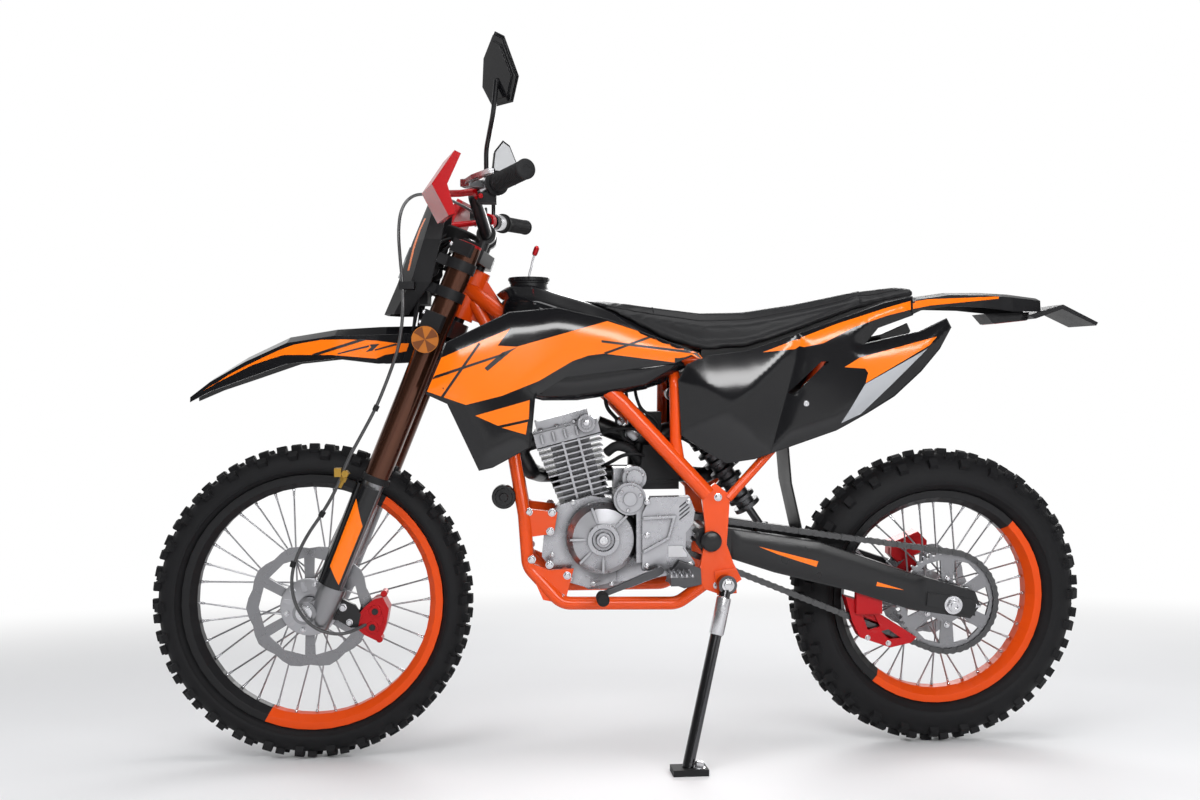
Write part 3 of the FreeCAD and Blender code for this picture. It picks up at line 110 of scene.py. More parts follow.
def node(tree, kind, inputs=(), **settings):
    """Adds a shader node with its inputs linked or set."""
    made = tree.nodes.new("ShaderNode" + kind)
    for key, value in settings.items():
        setattr(made, key, value)
    for key, value in dict(inputs).items():
        feed(tree, made.inputs[key], value)
    return made


def mix_colors(tree, low, high, share):
    mixed = node(tree, "Mix", {0: share}, data_type="RGBA")
    feed(tree, mixed.inputs[6], low)
    feed(tree, mixed.inputs[7], high)
    return mixed.outputs[2]


def tint(color, share):
    return (*[min(1, c * share) for c in color], 1)


def shader(name, color, rough, metallic=0.0, coat=0.0, coat_rough=0.1, grain=0.0, grain_size=0.5, vary=0.1,
        vary_size=60.0, rough_vary=0.0, bevel=0.0, specular=0.5, painted_crevice_shade=0.0):
    """A principled material with colour patches, a fine bump, softened edges and, where a reach is given,
    painted shade in crevices. Sizes are in millimetres.
    """
    material = bpy.data.materials.new(name)
    material.use_nodes = True
    tree = material.node_tree
    main = tree.nodes["Principled BSDF"].inputs
    for key, value in (("Base Color", (*color, 1)), ("Roughness", rough), ("Metallic", metallic),
            ("Coat Weight", coat), ("Coat Roughness", coat_rough), ("Specular IOR Level", specular)):
        main[key].default_value = value
    coords = node(tree, "TexCoord").outputs["Object"]
    noise = node(tree, "TexNoise", {"Scale": 1000.0 / vary_size, "Detail": 5,
        "Vector": coords}).outputs["Fac"]
    paint = mix_colors(tree, tint(color, 1 - vary), tint(color, 1 + vary), noise)
    if rough_vary:
        spread = node(tree, "MapRange", {"To Min": max(0, rough - rough_vary),
            "To Max": min(1, rough + rough_vary), "Value": noise})
        feed(tree, main["Roughness"], spread.outputs["Result"])
    # Painted shade: ambient occlusion darkens the base colour in crevices and hollows
    if painted_crevice_shade:
        occlusion = node(tree, "AmbientOcclusion", {"Distance": painted_crevice_shade / 1000}, samples=6).outputs["AO"]
        clear = node(tree, "Math", {0: occlusion, 1: CREVICE_POWER}, operation="POWER").outputs[0]
        paint = mix_colors(tree, tint(color, CREVICE_SHADE), paint, clear)
    feed(tree, main["Base Color"], paint)
    normal = None
    if bevel:
        normal = node(tree, "Bevel", {"Radius": bevel / 1000}, samples=4).outputs["Normal"]
    if grain:
        fine = node(tree, "TexNoise", {"Scale": 1000.0 / grain_size, "Detail": 3,
            "Vector": coords}).outputs["Fac"]
        bump = node(tree, "Bump", {"Strength": grain, "Distance": BUMP_DEPTH, "Height": fine})
        if normal:
            feed(tree, bump.inputs["Normal"], normal)
        normal = bump.outputs["Normal"]
    if normal:
        feed(tree, main["Normal"], normal)
    return material


def two_tone(material, other, centre, turn, offset):
    """Paints the part of a wheel on one side of a slanted line in a second colour."""
    tree = material.node_tree
    base = tree.nodes["Principled BSDF"].inputs["Base Color"]
    coords = node(tree, "TexCoord").outputs["Object"]
    from_hub = node(tree, "VectorMath", {0: coords, 1: centre}, operation="SUBTRACT").outputs[0]
    slant = way(cos(turn), 0, sin(turn))
    along = node(tree, "VectorMath", {0: from_hub, 1: slant}, operation="DOT_PRODUCT").outputs["Value"]
    beyond = node(tree, "Math", {0: along, 1: offset / 1000}, operation="GREATER_THAN").outputs[0]
    feed(tree, base, mix_colors(tree, (*other, 1), base.links[0].from_socket, beyond))


ORANGE = (0.86, 0.165, 0.002)
FRAME_ORANGE = (0.70, 0.066, 0.004)
BLACK = (0.006, 0.006, 0.007)
SOFT_BLACK = (0.012, 0.012, 0.013)

M = {
    "tyre": shader("tyre_rubber", (0.008, 0.008, 0.009), 0.66, grain=0.5, grain_size=0.8, vary=0.35,
        vary_size=40, rough_vary=0.1, bevel=1.5, specular=0.2),
    "frame": shader("frame_paint", FRAME_ORANGE, 0.24, vary=0.05, vary_size=90, grain=0.05, grain_size=0.7,
        bevel=1.2, specular=0.4),
    # Cast alloy, with painted shade in its crevices
    "alloy": shader("cast_alloy", (0.40, 0.40, 0.42), 0.28, metallic=0.92, grain=0.1, vary=0.12,
        vary_size=35, rough_vary=0.12, bevel=1.2, painted_crevice_shade=22.0),
    "steel": shader("plain_steel", (0.60, 0.60, 0.62), 0.26, metallic=0.95, grain=0.1, grain_size=0.4,
        vary=0.06, rough_vary=0.08, bevel=0.6),
    "dark_steel": shader("dark_steel", (0.085, 0.085, 0.09), 0.36, metallic=0.85, grain=0.12,
        rough_vary=0.1, bevel=1.0),
    "bronze": shader("bronze_tube", (0.085, 0.032, 0.018), 0.2, metallic=0.85, coat=0.2, vary=0.08,
        rough_vary=0.05, bevel=0.8),
    "black_metal": shader("black_metal", (0.010, 0.010, 0.011), 0.3, grain=0.15, grain_size=0.6,
        rough_vary=0.08, bevel=1.0, specular=0.35),
    "gloss_black": shader("gloss_black_plastic", BLACK, 0.12, grain=0.04, grain_size=0.8, bevel=1.2,
        specular=0.4),
    "matte_black": shader("moulded_black_plastic", (0.009, 0.009, 0.010), 0.42, specular=0.2, grain=0.4,
        grain_size=0.6, vary=0.12, rough_vary=0.08, bevel=1.0),
    "orange": shader("orange_plastic", ORANGE, 0.18, specular=0.4, grain=0.04, grain_size=0.7, vary=0.04,
        bevel=1.0),
    "red_metal": shader("red_anodised", (0.40, 0.004, 0.007), 0.28, metallic=0.5, specular=0.4, grain=0.1,
        vary=0.12, bevel=0.8),
    "grey": shader("grey_graphic", (0.33, 0.34, 0.36), 0.35, coat=0.3, grain=0.05, grain_size=0.7,
        vary=0.05),
    "red": shader("red_plastic", (0.38, 0.003, 0.006), 0.24, specular=0.25, grain=0.05, grain_size=0.6,
        vary=0.08, bevel=1.0),
    "rubber": shader("soft_rubber", SOFT_BLACK, 0.6, specular=0.2, grain=0.4, grain_size=0.9, vary=0.15,
        bevel=0.8),
    "seat": shader("seat_cover", SOFT_BLACK, 0.42, grain=0.7, grain_size=1.1, vary=0.15, vary_size=50,
        rough_vary=0.08, specular=0.18),
    "lamp": shader("red_lens", (0.22, 0.004, 0.006), 0.12, coat=0.6, grain=0.1, grain_size=2.0),
    "amber": shader("amber_lens", (0.42, 0.125, 0.01), 0.2, specular=0.4, grain=0.1, grain_size=1.5),
    # Darker amber: painted shade for the reflector's facets that catch less light
    "amber_painted_shade": shader("amber_lens_painted_shade", (0.15, 0.04, 0.005), 0.25, specular=0.4, grain=0.1,
        grain_size=1.5),
    "glass": shader("lamp_glass", (0.30, 0.31, 0.32), 0.06, metallic=0.4, coat=1.0, coat_rough=0.02,
        vary=0.05),
    "leg": shader("fork_leg_metal", (0.26, 0.26, 0.27), 0.28, metallic=0.85, grain=0.1, vary=0.08,
        bevel=0.8),
    "stand": shader("stand_chrome", (0.09, 0.09, 0.095), 0.16, metallic=1.0, vary=0.05, grain=0.05),
    "mirror": shader("mirror_glass", (0.86, 0.87, 0.89), 0.04, metallic=0.5, vary=0.02),
    "hub": shader("hub_casting", (0.42, 0.42, 0.44), 0.34, metallic=0.9, grain=0.3, rough_vary=0.08,
        bevel=0.8),
    "silver": shader("silver_paint", (0.55, 0.55, 0.57), 0.35, metallic=0.5, coat=0.3, vary=0.05,
        grain=0.08),
    "brass": shader("brass_fitting", (0.42, 0.25, 0.05), 0.3, metallic=0.9, grain=0.1, grain_size=0.6),
    "chain": shader("chain_steel", (0.09, 0.09, 0.092), 0.34, metallic=0.9, grain=0.1, vary=0.15,
        rough_vary=0.08, bevel=0.3),
    # Disc steel, with painted shade in its crevices
    "disc": shader("disc_steel", (0.24, 0.24, 0.25), 0.28, metallic=0.95, grain=0.1, grain_size=0.4,
        rough_vary=0.1, bevel=0.5, painted_crevice_shade=10.0),
    "hose": shader("hose_sleeve", (0.04, 0.04, 0.042), 0.4, coat=0.3, grain=0.2, grain_size=0.8),
    "line": shader("black_line", (0.010, 0.009, 0.010), 0.3, specular=0.3),
}
for end, turn, offset in (("front", -28.5, 30.0), ("rear", -42.0, 13.0)):
    rim_paint = shader(end + "_rim_paint", FRAME_ORANGE, 0.3, vary=0.05, bevel=1.5, grain=0.04,
        specular=0.2)
    two_tone(rim_paint, SOFT_BLACK, mounts[end + "_axle_bore"], radians(turn), offset)
    M[end + "_rim"] = rim_paint

# The look of each CAD node; the others are black metal
CAD_LOOK = {
    "tyre": "front_tyre rear_tyre", "front_rim": "front_rim", "rear_rim": "rear_rim",
    "hub": "front_hub rear_hub", "disc": "front_disc rear_disc rear_sprocket", "bronze": "fork_tubes",
    "leg": "fork_legs", "gloss_black": "fork_guards front_fender fuel_tank shrouds side_panels",
    "steel": "front_axle rear_axle levers", "rubber": "grips brake_hose", "red": "hand_guards chain_guide",
    "matte_black": "mirrors headlight_mask airbox fuel_cap rear_fender tail_lamp",
    "red_metal": "front_caliper rear_caliper", "frame": "head_tube main_spars cradle subframe",
    "dark_steel": "chain shock_absorber foot_controls", "alloy": "crankcase cylinder cylinder_head",
    "seat": "seat", "glass": "headlight", "amber": "fork_reflectors", "stand": "side_stand"
}
LOOK_OF = {name: look for look, names in CAD_LOOK.items() for name in names.split()}
for name, obj in NODES.items():
    obj.data.materials.clear()
    obj.data.materials.append(M[LOOK_OF.get(name, "black_metal")])


# Shapes
def put(name, data):
    """Puts a mesh, a curve, a lamp or a camera in the scene."""
    obj = bpy.data.objects.new(name, data)
    bpy.context.scene.collection.objects.link(obj)
    return obj


def cord_curve(name, points, radius, material):
    """A round cord through a smooth curve's points."""
    curve = bpy.data.curves.new(name, "CURVE")
    curve.dimensions = "3D"
    curve.bevel_depth = radius
    curve.bevel_resolution = 4
    curve.resolution_u = 8
    curve.use_fill_caps = True
    spline = curve.splines.new("NURBS")
    spline.points.add(len(points) - 1)
    for point, at in zip(spline.points, points):
        point.co = (*place(*at), 1)
    spline.order_u = 3
    spline.use_endpoint_u = True
    curve.materials.append(material)
    return put(name, curve)


def rounded_copy(name, source, rounds):
    """A copy of a CAD node's mesh, remeshed and smoothed."""
    copy = put(name, source.data.copy())
    copy.matrix_world = source.matrix_world
    remesh = copy.modifiers.new("remesh", "REMESH")
    remesh.mode = "VOXEL"
    remesh.voxel_size = VOXEL
    smooth = copy.modifiers.new("smooth", "SMOOTH")
    smooth.factor = 0.5
    smooth.iterations = rounds
    graph = bpy.context.evaluated_depsgraph_get()
    copy.data = bpy.data.meshes.new_from_object(copy.evaluated_get(graph))
    copy.modifiers.clear()
    return copy


def dress(obj, material):
    obj.data.polygons.foreach_set("use_smooth", [True] * len(obj.data.polygons))
    obj.data.materials.clear()
    obj.data.materials.append(material)


def surface(obj):
    """An object's surface, in the upright frame's millimetres."""
    matrix = UPRIGHT.inverted() @ obj.matrix_world
    return BVHTree.FromPolygons([matrix @ v.co for v in obj.data.vertices],
        [list(p.vertices) for p in obj.data.polygons])


def within(point, outline, middle):
    """Whether a point lies in a convex outline of (x, z) corners."""
    for (x0, z0), (x1, z1) in zip(outline, outline[1:] + outline[:1]):
        normal = Vector((z1 - z0, 0, x0 - x1))
        start = Vector((x0, 0, z0))
        if normal.dot(point - start) * normal.dot(middle - start) < 0:
            return False
    return True


def rim_distance(x, z, outline):
    """How far a point lies from the nearest edge of an outline."""
    least = 1e9
    point = Vector((x, z))
    for k, corner in enumerate(outline):
        start = Vector(corner)
        edge = Vector(outline[(k + 1) % len(outline)]) - start
        share = max(0.0, min(1.0, (point - start).dot(edge) / edge.length_squared))
        least = min(least, (start + edge * share - point).length)
    return least


# Beside the bike, where a decal starts its rays and its search for the nearest point
OUTSIDE = 500
NEAR = 150


class Shape:
    """Gathers simple solids, in the upright frame's millimetres, into one piece."""

    def __init__(self):
        self.bm = bmesh.new()

    def ring(self, centre, axis, radius, sides):
        across = Vector((1, 0, 0)) if abs(axis.y) > 0.9 else axis.orthogonal().normalized()
        other = axis.cross(across).normalized()
        across = other.cross(axis)
        return self.circle(centre, across, other, radius, sides)

    def circle(self, centre, across, other, radius, sides):
        corners = []
        for k in range(sides):
            a = 2 * pi * k / sides
            corners.append(self.bm.verts.new(centre + across * (radius * cos(a)) + other * (radius * sin(a))))
        return corners

    def band(self, low, high):
        """Joins two closed rings of corners with faces."""
        for k in range(len(low)):
            m = (k + 1) % len(low)
            self.bm.faces.new([low[k], low[m], high[m], high[k]])

    def lathe(self, start, axis, profile, sides=24):
        """Turns (distance, radius) pairs about an axis."""
        start = Vector(start)
        axis = Vector(axis).normalized()
        rings = []
        for distance, radius in profile:
            at = start + axis * distance
            rings.append([self.bm.verts.new(at)] if radius == 0 else self.ring(at, axis, radius, sides))
        for low, high in zip(rings, rings[1:]):
            for k in range(sides):
                m = (k + 1) % sides
                corners = [low[k % len(low)], low[m % len(low)], high[m % len(high)], high[k % len(high)]]
                unique = list(dict.fromkeys(corners))
                if len(unique) > 2:
                    self.bm.faces.new(unique)

    def drum(self, start, axis, profile, sides=24):
        """A lathed piece that is closed flat at both ends."""
        self.lathe(start, axis, [(profile[0][0], 0), *profile, (profile[-1][0], 0)], sides)

    def rod(self, start, end, radius, sides=24, edge=0.6):
        axis = Vector(end) - Vector(start)
        long = axis.length
        self.lathe(start, axis, [(0, 0), (0, radius - edge), (edge, radius), (long - edge, radius),
            (long, radius - edge), (long, 0)], sides)

    def bolt(self, at, axis, size=5.0, height=4.0):
        """A washer and a hexagonal head that stand on a face."""
        self.drum(at, axis, [(-1, size * 1.35), (1, size * 1.35), (1.3, size * 1.2)], 20)
        self.lathe(at, axis, [(1, 0), (1, size), (height, size), (height + 0.8, size * 0.82),
            (height + 0.8, 0)], 6)

    def socket(self, at, axis, size=5.0, height=5.0):
        """A round bolt head with a hexagonal socket."""
        self.lathe(at, axis, [(-1, 0), (-1, size), (height - 0.6, size), (height, size - 0.6),
            (height, size * 0.5), (height - 2.5, size * 0.5), (height - 2.5, 0)], 18)

    def block(self, corners, move):
        """A prism: a ring of corners pushed along a way."""
        low = [self.bm.verts.new(Vector(c)) for c in corners]
        high = [self.bm.verts.new(Vector(c) + Vector(move)) for c in corners]
        self.bm.faces.new(low)
        self.bm.faces.new(list(reversed(high)))
        self.band(low, high)

    def plate(self, outline, y, thick):
        """A flat plate of (x, z) corners that starts at one y."""
        self.block([(x, y, z) for x, z in outline], (0, thick, 0))

    def brick(self, low, high):
        x0, y0, z0 = low
        x1, y1, z1 = high
        self.block([(x0, y0, z0), (x1, y0, z0), (x1, y1, z0), (x0, y1, z0)], (0, 0, z1 - z0))

    def tube(self, points, radius, sides=10):
        """A round tube through smooth points."""
        points = [Vector(p) for p in points]
        rings = []
        across = None
        for k, at in enumerate(points):
            axis = (points[min(k + 1, len(points) - 1)] - points[max(k - 1, 0)]).normalized()
            if across is None:
                across = axis.orthogonal().normalized()
            else:
                across = (across - axis * across.dot(axis)).normalized()
            rings.append(self.circle(at, across, axis.cross(across), radius, sides))
        for low, high in zip(rings, rings[1:]):
            self.band(low, high)
        self.bm.faces.new(rings[0])
        self.bm.faces.new(rings[-1])

    def decal(self, outline, tree, side, proud=0.4, step=10.0, least=20.0, crown=0.0, width=1.0, hole=(),
            base=None):
        """A graphic or a domed skin: an outline of (x, z) corners laid on a surface, or on a base width."""
        patch = bmesh.new()
        patch.faces.new([patch.verts.new((x, 0, z)) for x, z in outline])

        def cut(at, normal):
            geometry = patch.verts[:] + patch.edges[:] + patch.faces[:]
            bmesh.ops.bisect_plane(patch, geom=geometry, plane_co=at, plane_no=normal)

        for (x0, z0), (x1, z1) in zip(hole, hole[1:] + hole[:1]):
            cut((x0, 0, z0), (z1 - z0, 0, x0 - x1))
        for index, normal in ((0, (1, 0, 0)), (2, (0, 0, 1))):
            values = [corner[index // 2] for corner in outline]
            at = math.floor(min(values) / step) * step + step
            while at < max(values):
                spot = [0, 0, 0]
                spot[index] = at
                cut(spot, normal)
                at += step
        if hole:
            middle = Vector((sum(x for x, _ in hole), 0, sum(z for _, z in hole))) / len(hole)
            inside = [f for f in patch.faces if within(f.calc_center_median(), hole, middle)]
            bmesh.ops.delete(patch, geom=inside, context="FACES")
        bmesh.ops.triangulate(patch, faces=patch.faces[:])
        moved = {}
        for vert in patch.verts:
            x, _, z = vert.co
            if base:
                hit = Vector((x, side * base(x), z))
            else:
                hit = tree.ray_cast(Vector((x, side * OUTSIDE, z)), Vector((0, -side, 0)))[0]
                if hit is None or hit.y * side < least:
                    hit = tree.find_nearest(Vector((x, side * NEAR, z)))[0]
            share = min(1.0, rim_distance(x, z, outline) / width) if crown else 0.0
            rise = crown * (sqrt(1 - (1 - share) ** 2) if base else sin(pi / 2 * share))
            moved[vert] = self.bm.verts.new(hit + Vector((0, side * (proud + rise), 0)))
        for face in patch.faces:
            self.bm.faces.new([moved[v] for v in face.verts])
        patch.free()

    def piece(self, name, body, slot, look=None, replaces=(), angle=35.0):
        """Makes the object. Its material is the slot's own unless a look is named."""
        mesh = bpy.data.meshes.new(name)
        bmesh.ops.recalc_face_normals(self.bm, faces=self.bm.faces[:])
        self.bm.to_mesh(mesh)
        self.bm.free()
        mesh.transform(UPRIGHT)
        mesh.polygons.foreach_set("use_smooth", [True] * len(mesh.polygons))
        mesh.set_sharp_from_angle(angle=radians(angle))
        mesh.materials.append(M[look or slot])
        obj = put(name, mesh)
        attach(obj, body)
        if replaces:
            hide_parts(*replaces)
        return obj


def rounded(points, radius, steps=6):
    """A path with its inner corners rounded."""
    points = [Vector(p) for p in points]
    path = [points[0]]
    for before, corner, after in zip(points, points[1:], points[2:]):
        start = corner + (before - corner).normalized() * radius
        end = corner + (after - corner).normalized() * radius
        for k in range(steps + 1):
            t = k / steps
            path.append(start * (1 - t) ** 2 + corner * (2 * t * (1 - t)) + end * t ** 2)
    return path + [points[-1]]


# Tyres
FRONT_RIM = 281.0
REAR_RIM = 243.0
KNOB_HEIGHT = 12.0
KNOB_ROOT = 3.0
KNOB_TAPER = 0.86
WIDEST_SHARE = 0.3
WALL_RIDGE = 1.2
TYRE_STEPS = 128
SWEEP_STEPS = 14
WALL_STEPS = 8
# Rows of knobs: the near edge, the far edge, the length and the phase
FRONT_KNOBS = ((2.5, 14.0, 24.0, 0.0), (16.5, 25.5, 21.0, 0.42), (28.0, 37.5, 22.0, 0.05))
REAR_KNOBS = ((3.5, 19.5, 25.0, 0.0), (22.5, 34.0, 23.0, 0.45), (37.5, 49.0, 24.0, 0.05))


def tyre(name, body, centre_x, radius, half, bead_half, rim_radius, rows, count):
    """A tyre with a smooth carcass, rows of separate knobs and two rings on each side wall."""
    shape = Shape()
    crown = radius - KNOB_HEIGHT
    widest = rim_radius + WIDEST_SHARE * (crown - rim_radius)

    def carcass(y):
        share = min(1.0, abs(y) / half)
        return widest + (crown - widest) * sqrt(1 - share * share)

    sweep = [k / SWEEP_STEPS * pi / 2 for k in range(SWEEP_STEPS + 1)]
    right = [(widest + (crown - widest) * cos(t), half * sin(t)) for t in sweep]
    wall = []
    for k in range(1, WALL_STEPS):
        share = k / WALL_STEPS
        r = widest - share * (widest - rim_radius - 1)
        ridge = WALL_RIDGE if k in (3, 6) else 0.0
        wall.append((r, half - (half - bead_half - 4) * share ** 1.6 + ridge))
    right += wall + [(rim_radius + 1.0, bead_half + 3.0), (rim_radius + 0.6, bead_half - 1),
        (rim_radius - 7.4, bead_half - 1)]
    profile = [(r, -y) for r, y in reversed(right)] + right[1:]
    rings = []
    for s in range(TYRE_STEPS):
        a = 2 * pi * s / TYRE_STEPS
        rings.append([shape.bm.verts.new(around(centre_x, y, radius, r, a)) for r, y in profile])
    for s in range(TYRE_STEPS):
        low, high = rings[s], rings[(s + 1) % TYRE_STEPS]
        for k in range(len(profile) - 1):
            shape.bm.faces.new([low[k], low[k + 1], high[k + 1], high[k]])
    for y_near, y_far, long, phase in rows:
        for side in SIDES:
            for k in range(count):
                middle = 2 * pi * (k + phase + (0.5 if side > 0 else 0.0)) / count
                spread = long / radius / 2
                corners = []
                for lift, taper in ((-KNOB_ROOT, 1.0), (KNOB_HEIGHT, KNOB_TAPER)):
                    for da, y in ((-1, y_near), (1, y_near), (1, y_far), (-1, y_far)):
                        mid = (y_near + y_far) / 2
                        y = mid + (y - mid) * taper
                        slope = 0.9 * y / half
                        r = carcass(y) + lift * cos(slope)
                        out = y + lift * sin(slope)
                        a = middle + da * spread * taper
                        corners.append(shape.bm.verts.new(around(centre_x, side * out, radius, r, a)))
                low, high = corners[:4], corners[4:]
                shape.bm.faces.new(high)
                shape.band(low, high)
    shape.piece(name + "_tread", body, "tyre", replaces=(name,), angle=30.0)


tyre("front_tyre", "front_wheel", 0, FRONT_RADIUS, 42.0, 21.0, FRONT_RIM, FRONT_KNOBS, 30)
tyre("rear_tyre", "rear_wheel", WHEELBASE, REAR_RADIUS, 55.0, 28.0, REAR_RIM, REAR_KNOBS, 27)

# Spoke nipples
SPOKES = 36
SPOKE_SWEEP = 52
RIM_DEPTH = 29.0
RIM_FACETS = 48


def nipples(name, body, centre_x, centre_z, rim_radius, hub_radius, hub_half):
    shape = Shape()
    reach = (rim_radius - RIM_DEPTH) * cos(pi / RIM_FACETS) - 0.5
    for k in range(SPOKES):
        side = 1 if k % 2 else -1
        rim_angle = 2 * pi * k / SPOKES
        hub_angle = rim_angle + (1 if (k // 2) % 2 else -1) * radians(SPOKE_SWEEP)
        start = Vector(around(centre_x, side * (hub_half - 3), centre_z, hub_radius, hub_angle))
        end = Vector(around(centre_x, side * 5.0, centre_z, reach, rim_angle))
        shape.drum(end, start - end, [(0, 3.6), (4, 3.6), (5, 2.8), (15, 2.6)], 10)
    shape.piece(name, body, "steel")


nipples("front_nipples", "front_wheel", 0, FRONT_RADIUS, FRONT_RIM, 33.0, 50.0)
nipples("rear_nipples", "rear_wheel", WHEELBASE, REAR_RADIUS, REAR_RIM, 41.0, 53.0)

# Chain links
PITCH = 15.875
CHAIN_Y = -78.0
DRIVE = (795.0, 503.0)
REAR = (WHEELBASE, REAR_RADIUS)
DRIVE_TEETH = 14
REAR_TEETH = 44
LINK_RADIUS = 6.9
LINK_WAIST = 5.4


def chain_pins():
    """The pins of the chain, evenly spaced round both sprockets."""
    small = PITCH / (2 * sin(pi / DRIVE_TEETH))
    large = PITCH / (2 * sin(pi / REAR_TEETH))
    dx, dz = REAR[0] - DRIVE[0], REAR[1] - DRIVE[1]
    span = math.hypot(dx, dz)
    heading = math.atan2(dz, dx)
    swing = math.acos((small - large) / span)
    straight = sqrt(span ** 2 - (large - small) ** 2)
    top, bottom = heading + swing, heading - swing
    arc_large = large * 2 * swing
    arc_small = small * (2 * pi - 2 * swing)

    def rim(centre, radius, angle):
        return centre[0] + radius * cos(angle), centre[1] + radius * sin(angle)

    def between(a, b, share):
        return a[0] + (b[0] - a[0]) * share, a[1] + (b[1] - a[1]) * share

    runs = (
        (straight, lambda s: between(rim(DRIVE, small, top), rim(REAR, large, top), s / straight)),
        (arc_large, lambda s: rim(REAR, large, top - s / large)),
        (straight, lambda s: between(rim(REAR, large, bottom), rim(DRIVE, small, bottom), s / straight)),
        (arc_small, lambda s: rim(DRIVE, small, bottom - s / small)),
    )
    total = 2 * straight + arc_large + arc_small
    count = 2 * round(total / PITCH / 2)
    pins = []
    for k in range(count):
        s = total * k / count
        for length, spot in runs:
            if s < length:
                pins.append(spot(s))
                break
            s -= length
    return pins


pins = chain_pins()
links = Shape()
for k, (px, pz) in enumerate(pins):
    qx, qz = pins[(k + 1) % len(pins)]
    along = Vector((qx - px, 0, qz - pz)).normalized()
    across = Vector((-along.z, 0, along.x))
    start = Vector((px, 0, pz))
    end = Vector((qx, 0, qz))
    outline = []
    for at, first, waist in ((start, 1, -LINK_WAIST), (end, -1, LINK_WAIST)):
        for t in range(7):
            a = first * pi / 2 + pi * t / 6
            outline.append(at + along * (LINK_RADIUS * cos(a)) + across * (LINK_RADIUS * sin(a)))
        outline.append((start + end) / 2 + across * waist)
    near, far = ((3.7, 4.9), (5.0, 6.2))[k % 2]
    for side in SIDES:
        y = CHAIN_Y + side * near
        links.block([c + Vector((0, y, 0)) for c in outline], (0, side * (far - near), 0))
    links.drum(start + Vector((0, CHAIN_Y - 6.9, 0)), RIGHT, [(0, 2.2), (13.8, 2.2)], 8)
    links.drum(start + Vector((0, CHAIN_Y - 3.7, 0)), RIGHT, [(0, 5.0), (7.4, 5.0)], 12)
links.piece("chain_links", "chassis", "dark_steel", "chain", ("chain",))

# Brake hose, along the route of its solid
HOSE = ((365, 270, 1216), (345, 236, 1232), (322, 200, 1243), (294, 150, 1250), (273, 90, 1251),
    (246, 35, 1247), (219, -20, 1235), (200, -62, 1201), (197, -92, 1150), (202, -108, 1092),
    (209, -116, 1028), (209, -122, 966), (201, -126, 903), (178, -128, 838), (153, -130, 776),
    (124, -132, 722), (97, -134, 673), (71, -136, 607), (42, -138, 557), (9, -140, 510), (-17, -142, 454),
    (-22, -142, 402), (-8, -141, 354), (24, -136, 316), (66, -124, 300), (98, -108, 302), (122, -88, 312))
hose = cord_curve("brake_line", HOSE, 0.0035, M["hose"])
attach(hose, "steering")
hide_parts("brake_hose")

# Black trim between the seat and the panels, the inlet boot and the battery box
SEAT_TRIM = [(838, 858), (843, 902), (940, 910), (1053, 948), (1180, 992), (1300, 1016), (1300, 998),
    (1235, 980), (1053, 915), (937, 874)]
trim = Shape()
for side in SIDES:
    trim.plate(SEAT_TRIM, side * 97, side * 4)
boot_way = Vector((64, 0, 20))
profile = [(0, 0), (0, 27)]
for k in range(6):
    profile += [(3 + 10 * k, 27), (5 + 10 * k, 32), (9 + 10 * k, 32), (11 + 10 * k, 27)]
trim.lathe((744, 0, 668), boot_way, profile + [(66, 27), (66, 0)], 28)
trim.plate([(708, 592), (800, 592), (800, 690), (722, 690)], -56, 112)
trim.plate([(716, 604), (792, 604), (792, 612), (716, 612)], -58, 2)
trim.piece("inner_trim", "chassis", "matte_black")

# Hoses, coil and fittings around the carburettor
hoses = Shape()
HOSE_RUNS = (
    (4.2, ((636, -24, 822), (642, -36, 770), (668, -52, 742), (676, -50, 706), (700, -40, 690))),
    (4.2, ((634, -20, 640), (652, -44, 652), (676, -56, 668), (712, -60, 672), (744, -40, 652))),
    (3.6, ((684, -24, 826), (690, -44, 760), (724, -58, 748), (748, -56, 712), (742, -40, 672),
        (724, -30, 636))),
    (4.2, ((628, -38, 712), (656, -50, 726), (700, -62, 728), (738, -62, 700), (770, -50, 690))),
    (3.6, ((706, -20, 836), (706, -34, 800), (716, -52, 768), (752, -56, 744), (764, -44, 700))),
    (3.6, ((668, -30, 620), (690, -50, 636), (716, -50, 628), (736, -44, 600))),
    (11.0, ((642, -38, 672), (662, -52, 690), (692, -54, 682), (716, -40, 650))),
)
for radius, run in HOSE_RUNS:
    hoses.tube(rounded(run, 14), radius, 12)
hoses.brick((730, -50, 708), (762, -20, 762))
hoses.piece("engine_hoses", "chassis", "rubber")
fittings = Shape()
fittings.drum((700, -22, 712), LEFT, [(0, 17), (10, 17), (12, 14)], 24)
fittings.drum((716, 4, 640), (0, 0, -1), [(0, 21), (8, 21), (12, 8), (18, 8)], 24)
fittings.drum((716, 4, 740), UP, [(0, 21), (12, 21), (16, 14), (30, 7)], 24)
fittings.socket((712, -46, 735), LEFT, 6, 8)
fittings.drum((668, -40, 742), (0.3, -1, 0), [(0, 9), (16, 9), (18, 6)], 18)
fittings.piece("carburettor_fittings", "chassis", "alloy")

# Breather tube on the tank's cap
BREATHER = ((472, 0, 1057), (473, 0, 1068), (478, 0, 1082), (480, 0, 1096), (485, 0, 1110))
breather = cord_curve("breather", BREATHER, 0.0025, M["silver"])
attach(breather, "chassis")
tip = Shape()
tip.drum((484, 0, 1108), (5, 0, 14), [(0, 4.5), (4, 6), (18, 6), (22, 3)], 16)
tip = tip.piece("breather_end", "chassis", "red_plastic", "red_metal")

